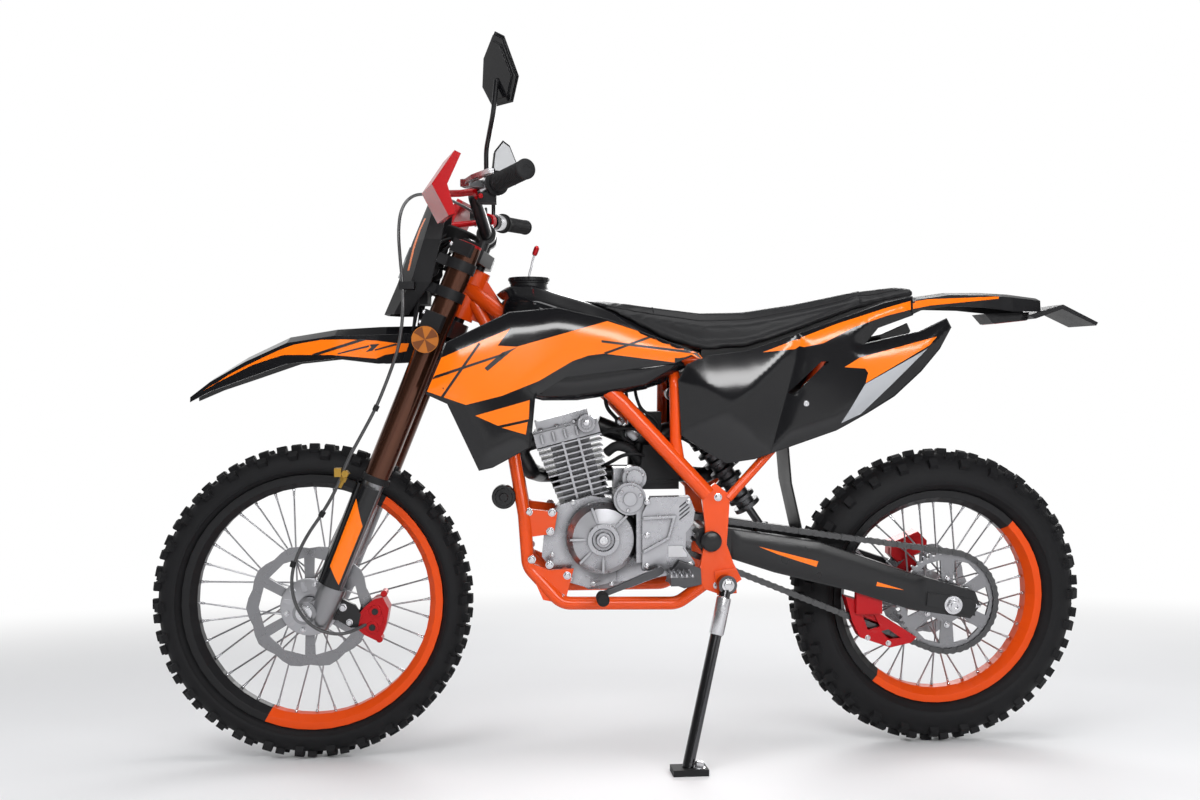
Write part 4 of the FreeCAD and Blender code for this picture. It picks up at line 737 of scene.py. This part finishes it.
# Domed skins of the bodywork and the swingarm
SHROUD = [(262, 808), (305, 910), (430, 973), (530, 983), (640, 958), (832, 890), (780, 869), (640, 852),
    (547, 840), (487, 802), (476, 699), (396, 657), (370, 652), (307, 786)]
BULGE = [(470, 798), (482, 860), (560, 895), (640, 900), (790, 885), (812, 862), (775, 843), (722, 813),
    (646, 800), (573, 790), (500, 790)]
PANEL_FRONT = [(846, 882), (937, 894), (1044, 929), (1037, 874), (1000, 746), (982, 677), (950, 666),
    (890, 657), (831, 692), (797, 716), (790, 832), (808, 864)]
PANEL_REAR = [(1047, 930), (1235, 998), (1298, 1011), (1298, 974), (1218, 946), (1188, 908), (1314, 936),
    (1374, 963), (1383, 946), (1356, 900), (1313, 853), (1251, 799), (1190, 763), (1124, 727), (1033, 695),
    (985, 679), (1003, 746), (1040, 874)]
SLOT = [(1021, 806), (1092, 872), (1108, 872), (1034, 800)]
ARM = [(906, 509), (1100, 478), (1300, 408), (1338, 396), (1338, 330), (1300, 334), (1169, 376),
    (1000, 419), (906, 449)]
TANK_ROUNDS = 26
tank = rounded_copy("tank_shell", NODES["fuel_tank"], TANK_ROUNDS)
dress(tank, M["gloss_black"])
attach(tank, "chassis")
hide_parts("fuel_tank")
cad_shroud = surface(NODES["shrouds"])
cad_tank = surface(tank)
cad_panel = surface(NODES["side_panels"])


def tank_foot(x):
    """Half the width of the tank's lower edge."""
    return 116.0 - 0.085 * max(0.0, x - 528.0)


skins = Shape()
arms = Shape()
for side in SIDES:
    skins.decal(SHROUD, cad_shroud, side, 0.3, 9.0, crown=7.0, width=45.0)
    skins.decal(BULGE, cad_tank, side, 0.3, 6.0, crown=34.0, width=42.0, base=tank_foot)
    skins.decal(PANEL_FRONT, cad_panel, side, 0.3, 9.0, crown=16.0, width=112.0)
    skins.decal(PANEL_REAR, cad_panel, side, 0.3, 9.0, crown=7.0, width=34.0, hole=SLOT)
    arms.decal(ARM, surface(NODES["swingarm"]), side, 0.3, 9.0, crown=6.0, width=26.0)
skin_tree = BVHTree.FromBMesh(skins.bm)
arm_skin = BVHTree.FromBMesh(arms.bm)
skins.piece("body_skins", "chassis", "black_plastic", "gloss_black")
arms.piece("arm_skins", "chassis", "black_metal")

# Graphics on the bodywork
SHROUD_LINES = (
    [(272, 841), (275, 836), (425, 887), (423, 891)],
    [(291, 800), (296, 798), (372, 908), (368, 911)],
    [(622, 912), (832, 888), (832, 893), (622, 917)],
    [(627, 891), (630, 887), (736, 925), (732, 929)],
    [(380, 859), (386, 853), (434, 893), (447, 902), (416, 891)],
)
fender_band = surface(NODES["rear_fender"])
orange = Shape()
dark = Shape()
grey = Shape()
for side in SIDES:
    orange.decal([(262, 812), (292, 880), (432, 940), (407, 905), (446, 903), (635, 957), (731, 927),
        (834, 889), (783, 870), (627, 889), (595, 885), (561, 873), (491, 832), (415, 802), (342, 784)],
        skin_tree, side)
    orange.decal([(361, 762), (472, 793), (470, 754), (407, 741)], skin_tree, side)
    orange.decal([(415, 737), (468, 748), (464, 722)], skin_tree, side)
    for line in SHROUD_LINES:
        dark.decal(line, skin_tree, side, 0.8)
    orange.decal([(968, 892), (1128, 953), (1240, 988), (1294, 1003), (1294, 984), (1237, 970), (1165, 946),
        (1096, 911), (1056, 903), (1046, 905), (1040, 899)], skin_tree, side, 0.9, 6.0)
    orange.decal([(1300, 1001), (1346, 1009), (1517, 1017), (1517, 1012), (1352, 995), (1300, 985)],
        fender_band, side, 0.5)
    orange.decal([(1141, 860), (1174, 880), (1350, 926), (1332, 907), (1187, 826), (1193, 848),
        (1186, 857)], skin_tree, side, 0.9, 6.0)
    grey.decal([(1134, 741), (1186, 824), (1328, 900), (1177, 760)], skin_tree, side, 0.7, 6.0)
    orange.decal([(965, 473), (1096, 439), (1092, 427), (1008, 455)], arm_skin, side)
    orange.decal([(1227, 392), (1288, 373), (1225, 383)], arm_skin, side)
orange.piece("body_graphics", "chassis", "orange_plastic", "orange")
dark.piece("body_lines", "chassis", "black_plastic", "line")
grey.piece("panel_graphics", "chassis", "black_plastic", "grey")

FENDER_LINES = (
    [(112, 921), (128, 920), (24, 886), (12, 888)],
    [(67, 891), (67, 888), (131, 904), (131, 908)],
    [(143, 899), (143, 896), (190, 908), (188, 912)],
    [(132, 909), (153, 911), (138, 896), (124, 893), (136, 904)],
)
fender_skin = surface(NODES["front_fender"])
guard_skin = surface(NODES["fork_guards"])
mask_skin = surface(NODES["headlight_mask"])
orange = Shape()
dark = Shape()
for side in SIDES:
    orange.decal([(-222, 811), (-202, 821), (-166, 844), (-137, 859), (-87, 883), (-59, 896), (-24, 909),
        (32, 919), (81, 920), (143, 918), (189, 912), (215, 912), (210, 895), (164, 887), (146, 879),
        (53, 887), (-45, 887), (-73, 879), (-112, 866), (-155, 845), (-195, 826)], fender_skin, side, 0.5,
        8.0, 5.0)
    for line in FENDER_LINES:
        dark.decal(line, fender_skin, side, 0.9, 8.0, 5.0)
    orange.decal([(111, 588), (124, 530), (74, 407), (56, 447)], guard_skin, side, 0.6, 6.0)
    orange.decal([(249, 1179), (237, 1157), (224, 1118), (213, 1067), (218, 1067), (229, 1115), (242, 1156),
        (253, 1178)], mask_skin, side, 0.4, 8.0)
orange.piece("front_graphics", "steering", "orange_plastic", "orange")
dark.piece("front_lines", "steering", "black_plastic", "line")

# Reflector sectors: four darker amber sectors, painted shade of the reflector's facets that catch less light
sectors = Shape()
for side in SIDES:
    middle = Vector((256.0, side * 141.4, 918.3))
    for k in range(4):
        fan = []
        for t in range(6):
            a = radians(12 + 90 * k + 45 * t / 5)
            fan.append(middle + Vector((26.5 * cos(a), 0, 26.5 * sin(a))))
        sectors.block([middle] + fan, (0, side * 0.5, 0))
sectors.piece("reflector_sectors", "steering", "amber", "amber_painted_shade")

# Seat cover, a padded copy of the solid that the cloth simulation swells
SEAT_ROUNDS = 12
PRESSURE = 4.0
STIFFNESS = 30
LAST_FRAME = 20
SWELL_LIMIT = 0.006
cover = rounded_copy("seat_cover", NODES["seat"], SEAT_ROUNDS)
up_way = way(*UP)
held = cover.vertex_groups.new(name="held")
held.add([v.index for v in cover.data.vertices if v.normal.dot(up_way) < -0.3], 1.0, "REPLACE")
before = [v.co.copy() for v in cover.data.vertices]
cloth = cover.modifiers.new("cloth", "CLOTH")
cloth.settings.use_pressure = True
cloth.settings.uniform_pressure_force = PRESSURE
cloth.settings.effector_weights.gravity = 0.0
cloth.settings.vertex_group_mass = "held"
cloth.settings.tension_stiffness = STIFFNESS
cloth.settings.compression_stiffness = STIFFNESS
cloth.point_cache.frame_start = 1
cloth.point_cache.frame_end = LAST_FRAME
scene = bpy.context.scene
for frame_number in range(1, LAST_FRAME + 1):
    scene.frame_set(frame_number)
graph = bpy.context.evaluated_depsgraph_get()
after = [v.co.copy() for v in cover.evaluated_get(graph).data.vertices]
cover.modifiers.clear()
for vert, old, new in zip(cover.data.vertices, before, after):
    step = new - old
    if step.length > SWELL_LIMIT:
        step *= SWELL_LIMIT / step.length
    vert.co = old + step
scene.frame_set(1)
dress(cover, M["seat"])
fine = cover.modifiers.new("fine", "SUBSURF")
fine.levels = 1
fine.render_levels = 1
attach(cover, "chassis")
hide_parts("seat")

# Seams along and across the seat
SEAM_SHARE = 0.8
CROSS_SEAMS = (742, 1196)
seat_skin = surface(cover)
SEAT_HALF = ((556, 46), (630, 62), (720, 84), (843, 110), (940, 120), (1053, 122), (1180, 116), (1318, 84))


def seat_half(x):
    for (x0, h0), (x1, h1) in zip(SEAT_HALF, SEAT_HALF[1:]):
        if x <= x1:
            return h0 + (h1 - h0) * (x - x0) / (x1 - x0)
    return SEAT_HALF[-1][1]


def seat_top(x, y):
    hit = seat_skin.ray_cast(Vector((x, y, 1200)), Vector((0, 0, -1)))[0]
    return hit if hit else seat_skin.find_nearest(Vector((x, y, 1000)))[0]


seams = Shape()
for side in SIDES:
    seams.tube([seat_top(x, side * seat_half(x) * SEAM_SHARE) for x in range(600, 1300, 12)], 1.5, 8)
for x in CROSS_SEAMS:
    wide = seat_half(x) * SEAM_SHARE
    seams.tube([seat_top(x, wide * k / 10) for k in range(-10, 11)], 1.2, 8)
seams.piece("seat_seams", "chassis", "seat_cover", "rubber")

# Bolts, nuts and small trim on the frame and the engine
steel = Shape()
black = Shape()
CRANK = (629.0, 491.0)
for k in range(8):
    a = radians(22 + 45 * k)
    steel.bolt(around(CRANK[0], -82, CRANK[1], 73, a), LEFT, 4.2, 4)
    steel.bolt(around(CRANK[0] + 44, 97, CRANK[1], 86, a), RIGHT, 4.2, 4)
for x, z in ((722, 434), (722, 572), (812, 572), (816, 436), (722, 500)):
    steel.bolt((x, -118, z), LEFT, 4.5, 4)
for x, z in ((514, 508), (520, 452), (566, 566), (610, 386), (650, 386), (560, 398)):
    steel.bolt((x, -67, z), LEFT, 4.0, 3.5)
for a in (20, 140, 260):
    t = radians(a)
    steel.socket(around(686, -115, 578, 24, t), LEFT, 3.2, 2.6)
    steel.socket(around(697, -102, 622, 20, t), LEFT, 3.0, 2.6)
steel.socket((CRANK[0], -120, CRANK[1]), LEFT, 9, 3)
for x, y, z in ((470, 78, 548), (520, 78, 546), (516, 78, 505), (476, 96, 448), (514, 96, 436),
        (552, 96, 412), (540, 96, 364)):
    for side in SIDES:
        steel.bolt((x, side * y, z), (0, side, 0), 6.5, 6)
for side in SIDES:
    axis = (0, side, 0)
    black.lathe((859, side * 131, 488), axis, [(-1, 0), (-1, 22), (4, 22), (7, 18), (8, 0)], 32)
    steel.bolt((874, side * 127, 582), axis, 6.5, 6)
    steel.bolt((872, side * 127, 392), axis, 6.0, 5)
    steel.bolt((WHEELBASE, side * 115, REAR_RADIUS), axis, 15, 9)
    black.drum((WHEELBASE, side * 112, REAR_RADIUS), axis, [(-1, 22), (2.5, 22), (3, 21)], 28)
    steel.bolt((1452, side * 109, 334), (1, 0, -0.05), 5, 10)
    steel.socket((1058, side * 152, 783), axis, 6, 3)
    steel.socket((912, side * 138, 720), axis, 6, 3)
    steel.socket((560, side * 158, 893), axis, 6, 3)
for x, z in ((1196, 334), (1228, 322), (1215, 263), (1262, 250)):
    steel.bolt((x, -94, z), LEFT, 4.5, 3.5)
for x, z in ((1352, 428), (1374, 380)):
    steel.bolt((x, 88, z), RIGHT, 4.5, 4)
BARREL_LEAN = radians(14.5)
barrel_way = Vector((-sin(BARREL_LEAN), 0, cos(BARREL_LEAN)))
barrel_across = Vector((barrel_way.z, 0, -barrel_way.x))
barrel_foot = Vector((596, 4, 560))
for a in (-56, -20, 20, 54):
    for side in SIDES:
        steel.bolt(barrel_foot + barrel_way * 181 + barrel_across * a + Vector((0, side * 50, 0)),
            barrel_way, 5, 5)
steel.drum(barrel_foot + barrel_way * 174.8 + barrel_across * 44 - Vector((0, 77, 0)), LEFT,
    [(-1, 7), (3, 7), (4, 5)], 6)
black.rod((416, -74, 580), (416, -52, 580), 26.0, 32, 2.0)
black.drum((416, -74, 580), LEFT, [(-1, 20), (2, 18), (3, 10), (6, 8)], 28)
black.rod((428, -62, 580), (448, -60, 582), 7.0)
stand_axis = Vector((0.0791, -0.9945, 0.0686))
steel.bolt(Vector((889, -148.5, 398)) + stand_axis * 12.2, stand_axis, 10, 6)
steel.piece("bolts", "chassis", "steel")
black.piece("black_caps", "chassis", "black_metal")

# Lever rubber, peg teeth and tail lens
rubber = Shape()
rubber.rod((623, -189, 377), (623, -150, 377), 12.5, 20, 2.0)
for k in range(6):
    rubber.lathe((623, -186 + 6 * k, 377), RIGHT, [(0, 12.4), (0, 13.4), (3, 13.4), (3, 12.4)], 20)
teeth = Shape()
for side in SIDES:
    for x in (764, 774, 785, 796, 808):
        for y in range(144, 204, 12):
            teeth.plate([(x - 3, 425), (x + 3, 425), (x, 433)], side * y, side * 7)
teeth.piece("peg_teeth", "chassis", "steel")
rubber.piece("lever_rubber", "chassis", "black_metal", "rubber")
lens = Shape()
lens.plate([(1504, 977), (1524, 957), (1598, 965), (1602, 981)], -33, 66)
lens.piece("tail_lens", "chassis", "matte_black", "lamp")

# Wheel fasteners and the front hub's cover
wheel = Shape()
for k in range(6):
    a = radians(30 + 60 * k)
    wheel.bolt(around(WHEELBASE, -81, REAR_RADIUS, 52, a), LEFT, 5, 4)
    wheel.socket(around(WHEELBASE, 63.6, REAR_RADIUS, 40, a), RIGHT, 4.5, 3)
wheel.piece("rear_wheel_bolts", "rear_wheel", "steel")
wheel = Shape()
cover = Shape()
cover.lathe((0, -63.5, FRONT_RADIUS), LEFT, [(-1.5, 24), (-1.5, 62), (2.5, 62), (4.5, 58), (4.5, 36),
    (5.2, 34), (5.2, 24), (-1.5, 24)], 48)
for k in range(6):
    a = radians(15 + 60 * k)
    wheel.bolt(around(0, -68, FRONT_RADIUS, 50, a), LEFT, 4.6, 3.4)
    t = radians(45 + 60 * k)
    out = Vector((cos(t), 0, sin(t)))
    over = Vector((-out.z, 0, out.x))
    hub = Vector((0, -67, FRONT_RADIUS))
    corners = [hub + out * r + over * w for r, w in ((34, -6), (57, -3.5), (57, 3.5), (34, 6))]
    cover.block(corners, (0, -2.5, 0))
wheel.piece("front_wheel_bolts", "front_wheel", "steel")
cover.piece("front_hub_cover", "front_wheel", "alloy", "hub")

# Fork and handlebar trim
steel = Shape()
black = Shape()
red = Shape()
for side in SIDES:
    axis = (0, side, 0)
    head = fork_place(842, side * 100)
    red.drum(head, FORK_UP, [(-1, 26.5), (5, 26.5), (6, 25)], 36)
    black.drum(head, FORK_UP, [(5, 20), (11, 20), (12, 18)], 6)
    steel.drum(head, FORK_UP, [(11, 8), (15, 8), (15.5, 7)], 20)
    for along in (656, 678, 832):
        steel.socket(fork_place(along, side * 72, 36), FORK_FRONT, 4.5, 4)
        steel.socket(fork_place(along, side * 124, 33), FORK_FRONT, 4.5, 4)
    for along in (-2, 14):
        steel.socket(fork_place(along, side * 116, 28), FORK_FRONT, 4.5, 4)
    steel.drum((0, side * 124, FRONT_RADIUS), axis, [(-1, 17), (2.6, 17), (3, 16)], 28)
    black.drum(fork_place(306, side * 100), FORK_UP, [(0, 29.5), (12, 29.5), (14, 27.5)], 36)
    for dx in (-12, 12):
        for dy in (-8, 8):
            steel.socket(BAR + Vector((dx, side * 45 + dy, 17)), UP, 3.5, 4)
    grip_in, grip_way = grip_line(side)
    for k in range(17):
        black.lathe(grip_in + grip_way * (8 + 6.6 * k), grip_way, [(0, 16.8), (0.6, 18.2), (2.6, 18.2),
            (3.2, 16.8)], 24)
    black.drum(grip_in + grip_way * 124, grip_way, [(0, 19), (4, 19), (6, 16), (6, 7), (4, 6)], 28)
    housing = grip_in - grip_way * 9
    black.drum(housing, grip_way, [(-6, 20), (-5, 21), (3, 21), (4, 20)], 28)
black.brick((372, -286, 1180), (408, -254, 1200))
red.drum((378, -288, 1192), LEFT, [(0, 5), (2, 5), (3, 4)], 18)
black.brick((330, 250, 1222), (372, 290, 1250))
steel.bolt((340, 270, 1250), UP, 3, 2)
clock = fork_place(850, 0, 34)
black.drum(clock, FORK_UP, [(-2, 34), (0, 37), (24, 37), (28, 33)], 36)
black.piece("bar_trim", "steering", "rubber")
red.piece("red_trim", "steering", "red_metal")

# Mirror heads, whose glass looks back at the rider
mirrors = Shape()
glass = Shape()
for side, drop in ((-1, 0), (1, 50)):
    low = BAR - Vector((0, 0, drop))
    grip_in, grip_way = grip_line(side)
    mirrors.rod(grip_in - grip_way * 60, grip_in - grip_way * 44, 18.0)
    foot = grip_in - grip_way * 52 + Vector((0, 0, 14))
    top = low + Vector((24, side * 326, 228))
    mirrors.tube(rounded([foot, foot + Vector((0, side * 4, 60)), top + Vector((0, -side * 6, -30)),
        top + Vector((6, 0, 30))], 16), 5, 14)
    face = [low + Vector((x, side * y, z)) for x, y, z in ((22, 280, 217), (2, 284, 253), (1, 322, 299),
        (22, 362, 335), (44, 367, 327), (70, 352, 257), (64, 312, 221))]
    middle = low + Vector((34, side * 326, 273))
    normal = (face[4] - face[0]).cross(face[5] - face[1]).normalized()
    normal = normal if normal.x > 0 else -normal
    flat = [p - normal * normal.dot(p - middle) for p in face]
    for inset, depth in ((1.0, 4.0), (0.93, -4.0), (0.78, -8.0)):
        mirrors.block([middle + (p - middle) * inset + normal * depth for p in flat],
            normal * (2.4 - depth))
    glass.block([middle + (p - middle) * 0.9 + normal * 3.6 for p in flat], normal * 1.2)
mirrors.piece("mirror_housings", "steering", "black_plastic", "gloss_black", ("mirrors",))
glass.piece("mirror_glass", "steering", "black_plastic", "mirror")

# Wiring behind the mask
WIRING = (
    ((850, 30, 48), (828, 50, 72), (760, 60, 84), (700, 56, 66), (640, 50, 50)),
    ((836, 44, 44), (790, 62, 58), (740, 50, 72), (690, 62, 58), (610, 44, 46)),
    ((856, 20, 60), (800, 40, 92), (730, 54, 88), (680, 46, 60)),
)
loom = Shape()
for side in SIDES:
    for run in WIRING:
        loom.tube(rounded([fork_place(along, side * across, ahead) for along, across, ahead in run], 22),
            3.6, 10)
    loom.drum(fork_place(770, side * 46, 60), (0, side, 0), [(0, 15), (16, 15), (18, 12)], 20)
at = fork_place(716, 0, 66)
loom.brick(at - Vector((16, 46, 26)), at + Vector((16, 46, 26)))
loom.piece("front_wiring", "steering", "rubber")

# Plate on the engine
plate = Shape()
plate.decal([(768, 453), (808, 453), (808, 477), (768, 477)], surface(NODES["crankcase"]), -1, 0.8)
plate.piece("engine_plate", "chassis", "alloy", "silver")

# Neck of the tank
neck = Shape()
neck.drum((472, 0, 1036), UP, [(-62, 84), (-44, 70), (-30, 58), (-16, 49), (-4, 43), (4, 41), (9, 41),
    (10, 43), (13, 43), (14, 41)], 48)
for k in range(16):
    a = 2 * pi * k / 16
    neck.drum((472 + 44 * cos(a), 44 * sin(a), 1051), UP, [(0, 1.6), (6, 1.6)], 8)
neck.piece("tank_neck", "chassis", "black_plastic", "matte_black")

# Foot and sleeve of the stand
foot = Shape()
foot.block([(790 + x, -252 + y, 35.2 - y * math.tan(LEAN)) for x, y in ((-33, -28), (39, -28), (39, 28),
    (-33, 28))], (0, 0, 13))
foot.piece("stand_foot", "side_stand", "steel", "rubber")
foot = Shape()
foot.bolt((812, -262, 50), UP, 9, 12)
foot.drum((882, -156, 372), (-99, -103.5, -358), [(0, 14), (2, 15.5), (76, 15.5), (80, 13)], 24)
foot.piece("stand_bolt", "side_stand", "steel")

# Fitting and clips of the brake hose
fitting = Shape()
fitting.brick((68, -141, 634), (82, -125, 652))
fitting.drum((90, -142, 640), RIGHT, [(0, 8), (16, 8)], 6)
fitting.drum((76, -133, 612), (0.45, 0, 0.9), [(0, 6), (14, 6), (14, 8), (24, 8)], 6)
fitting.piece("hose_fitting", "steering", "steel", "brass")
clips = Shape()
for k in (20, 18, 14):
    line = Vector(HOSE[k + 1]) - Vector(HOSE[k - 1])
    clips.drum(Vector(HOSE[k]) - line.normalized() * 6, line, [(0, 6), (12, 6)], 14)
clips.piece("hose_clips", "steering", "rubber")

# Front caliper
CALIPER_HALF = [(104, 329), (119, 349), (140, 366), (158, 370), (171, 344), (166, 314), (158, 290),
    (143, 277), (118, 290), (103, 304)]
PISTONS = ((142, 340), (136, 306))
CALIPER_BRIDGE = [(147, 362), (158, 370), (171, 344), (166, 314), (158, 290), (148, 283)]
caliper = Shape()
caliper.plate(CALIPER_HALF, -66, -22)
caliper.plate([(112, 322), (124, 344), (150, 352), (160, 322), (146, 292), (118, 302)], -90, 2.5)
caliper.plate(CALIPER_HALF, -42, -16)
caliper.plate(CALIPER_BRIDGE, -57, -10)
for x, z in PISTONS:
    caliper.rod((x, -92, z), (x, -86, z), 13.0)
for x, z in ((160, 376), (150, 278)):
    caliper.rod((x, -84, z), (x, -56, z), 7.0)
caliper.piece("caliper_body", "steering", "red_metal", replaces=("front_caliper",))
carrier = Shape()
carrier.plate([(40, 372), (62, 374), (100, 354), (112, 334), (106, 306), (90, 306), (64, 322), (40, 326)],
    -80, -9)
for x, z in PISTONS:
    carrier.rod((x, -94, z), (x, -91, z), 7.0)
carrier.piece("caliper_carrier", "steering", "black_metal")
lug = Shape()
lug.bolt((74, -89, 350), LEFT, 6.5, 5)
lug.bolt((88, -89, 318), LEFT, 5.5, 4)
lug.piece("caliper_bolts", "steering", "steel")
steel.piece("fork_bolts", "steering", "steel")


# Light
def area_light(name, at, aim, size, power):
    lamp = bpy.data.lights.new(name, "AREA")
    lamp.shape = "RECTANGLE"
    lamp.size, lamp.size_y = size
    lamp.energy = power
    obj = put(name, lamp)
    obj.location = at
    obj.rotation_euler = (Vector(aim) - Vector(at)).to_track_quat("-Z", "Y").to_euler()


area_light("key", (-1.8, -3.0, 3.6), (0, 0, 0.6), (2.4, 1.2), 68)
area_light("strip", (0.9, -3.1, 1.5), (0.3, 0, 0.9), (2.4, 0.5), 68)
area_light("top", (0.2, -0.6, 4.2), (0, 0, 0), (4.0, 1.6), 85)
area_light("back", (1.0, 3.6, 2.4), (0, 0, 0.7), (3.0, 1.2), 60)


def seen_rays(tree):
    """Whether a ray comes from the camera, by itself or by way of metal or glass."""
    rays = node(tree, "LightPath").outputs
    seen = rays["Is Camera Ray"]
    for kind in ("Is Glossy Ray", "Is Transmission Ray"):
        seen = node(tree, "Math", {0: seen, 1: rays[kind]}, operation="MAXIMUM").outputs[0]
    return seen


# World: white to the camera, and a room with a darker ceiling and front in the reflections
ROOM_COLOR = (0.9, 0.92, 0.95, 1)
ROOM_STRENGTH = 0.3
ROOM_DARK = 0.12
world = bpy.data.worlds.new("world")
bpy.context.scene.world = world
world.use_nodes = True
tree = world.node_tree
room_light = tree.nodes["Background"]
room_light.inputs["Color"].default_value = ROOM_COLOR
room_light.inputs["Strength"].default_value = ROOM_STRENGTH
heading = node(tree, "SeparateXYZ", {0: node(tree, "TexCoord").outputs["Generated"]}).outputs
ceiling = node(tree, "MapRange", {"Value": heading["Z"], "From Min": 0.5, "From Max": 0.75, "To Min": 1.0,
    "To Max": ROOM_DARK}).outputs["Result"]
depth = node(tree, "MapRange", {"Value": heading["Y"], "From Min": -0.2, "From Max": 0.6,
    "To Min": ROOM_DARK, "To Max": 1.0}).outputs["Result"]
shade = node(tree, "Math", {0: ceiling, 1: depth}, operation="MULTIPLY").outputs[0]
camera_ray = node(tree, "LightPath").outputs["Is Camera Ray"]
backdrop = node(tree, "Math", {0: shade, 1: camera_ray}, operation="MAXIMUM").outputs[0]
bright = node(tree, "Background", {"Color": backdrop, "Strength": 1.0}).outputs[0]
blend = node(tree, "MixShader", {0: seen_rays(tree), 1: room_light.outputs[0], 2: bright}).outputs[0]
feed(tree, tree.nodes["World Output"].inputs["Surface"], blend)
bpy.context.scene.view_settings.view_transform = "Standard"

# Floor, which fades to the white background
FLOOR_SIZE = 30.0
FLOOR_NEAR = 1.5
FLOOR_FAR = 5.0
mesh = bpy.data.meshes.new("floor")
half = FLOOR_SIZE / 2
mesh.from_pydata([(-half, -half, 0), (half, -half, 0), (half, half, 0), (-half, half, 0)], [],
    [(0, 1, 2, 3)])
floor = put("floor", mesh)
paint = shader("pale_floor", (0.80, 0.80, 0.81), 0.6, vary=0.02, vary_size=600)
tree = paint.node_tree
coords = node(tree, "TexCoord").outputs["Object"]
reach = node(tree, "VectorMath", {0: coords}, operation="LENGTH").outputs["Value"]
fade = node(tree, "MapRange", {"Value": reach, "From Min": FLOOR_NEAR, "From Max": FLOOR_FAR},
    interpolation_type="SMOOTHSTEP").outputs["Result"]
share = node(tree, "Math", {0: seen_rays(tree), 1: fade}, operation="MULTIPLY").outputs[0]
white = node(tree, "Emission").outputs[0]
mixed = node(tree, "MixShader", {0: share, 1: tree.nodes["Principled BSDF"].outputs[0],
    2: white}).outputs[0]
feed(tree, tree.nodes["Material Output"].inputs["Surface"], mixed)
mesh.materials.append(paint)

# Camera
CAMERA_AT = Vector((459.642, -2421.871, 533.612)) / 1000 + SHIFT
CAMERA_YAW = radians(4.217)
CAMERA_PITCH = radians(6.044)
CAMERA_ROLL = radians(-0.64)
FOCAL_PIXELS = 1041.434
FRAME_PIXELS = 1200.0
ahead = Vector((sin(CAMERA_YAW) * cos(CAMERA_PITCH), cos(CAMERA_YAW) * cos(CAMERA_PITCH),
    sin(CAMERA_PITCH)))
right = Vector((cos(CAMERA_YAW), -sin(CAMERA_YAW), 0))
up = right.cross(ahead)
rolled_right = right * cos(CAMERA_ROLL) + up * sin(CAMERA_ROLL)
rolled_up = up * cos(CAMERA_ROLL) - right * sin(CAMERA_ROLL)
camera_data = bpy.data.cameras.new("camera")
camera_data.sensor_width = 36.0
camera_data.lens = 36.0 * FOCAL_PIXELS / FRAME_PIXELS
camera = put("camera", camera_data)
turn = Matrix((rolled_right, rolled_up, -ahead)).transposed().to_4x4()
camera.matrix_world = Matrix.Translation(CAMERA_AT) @ turn
bpy.context.scene.camera = camera
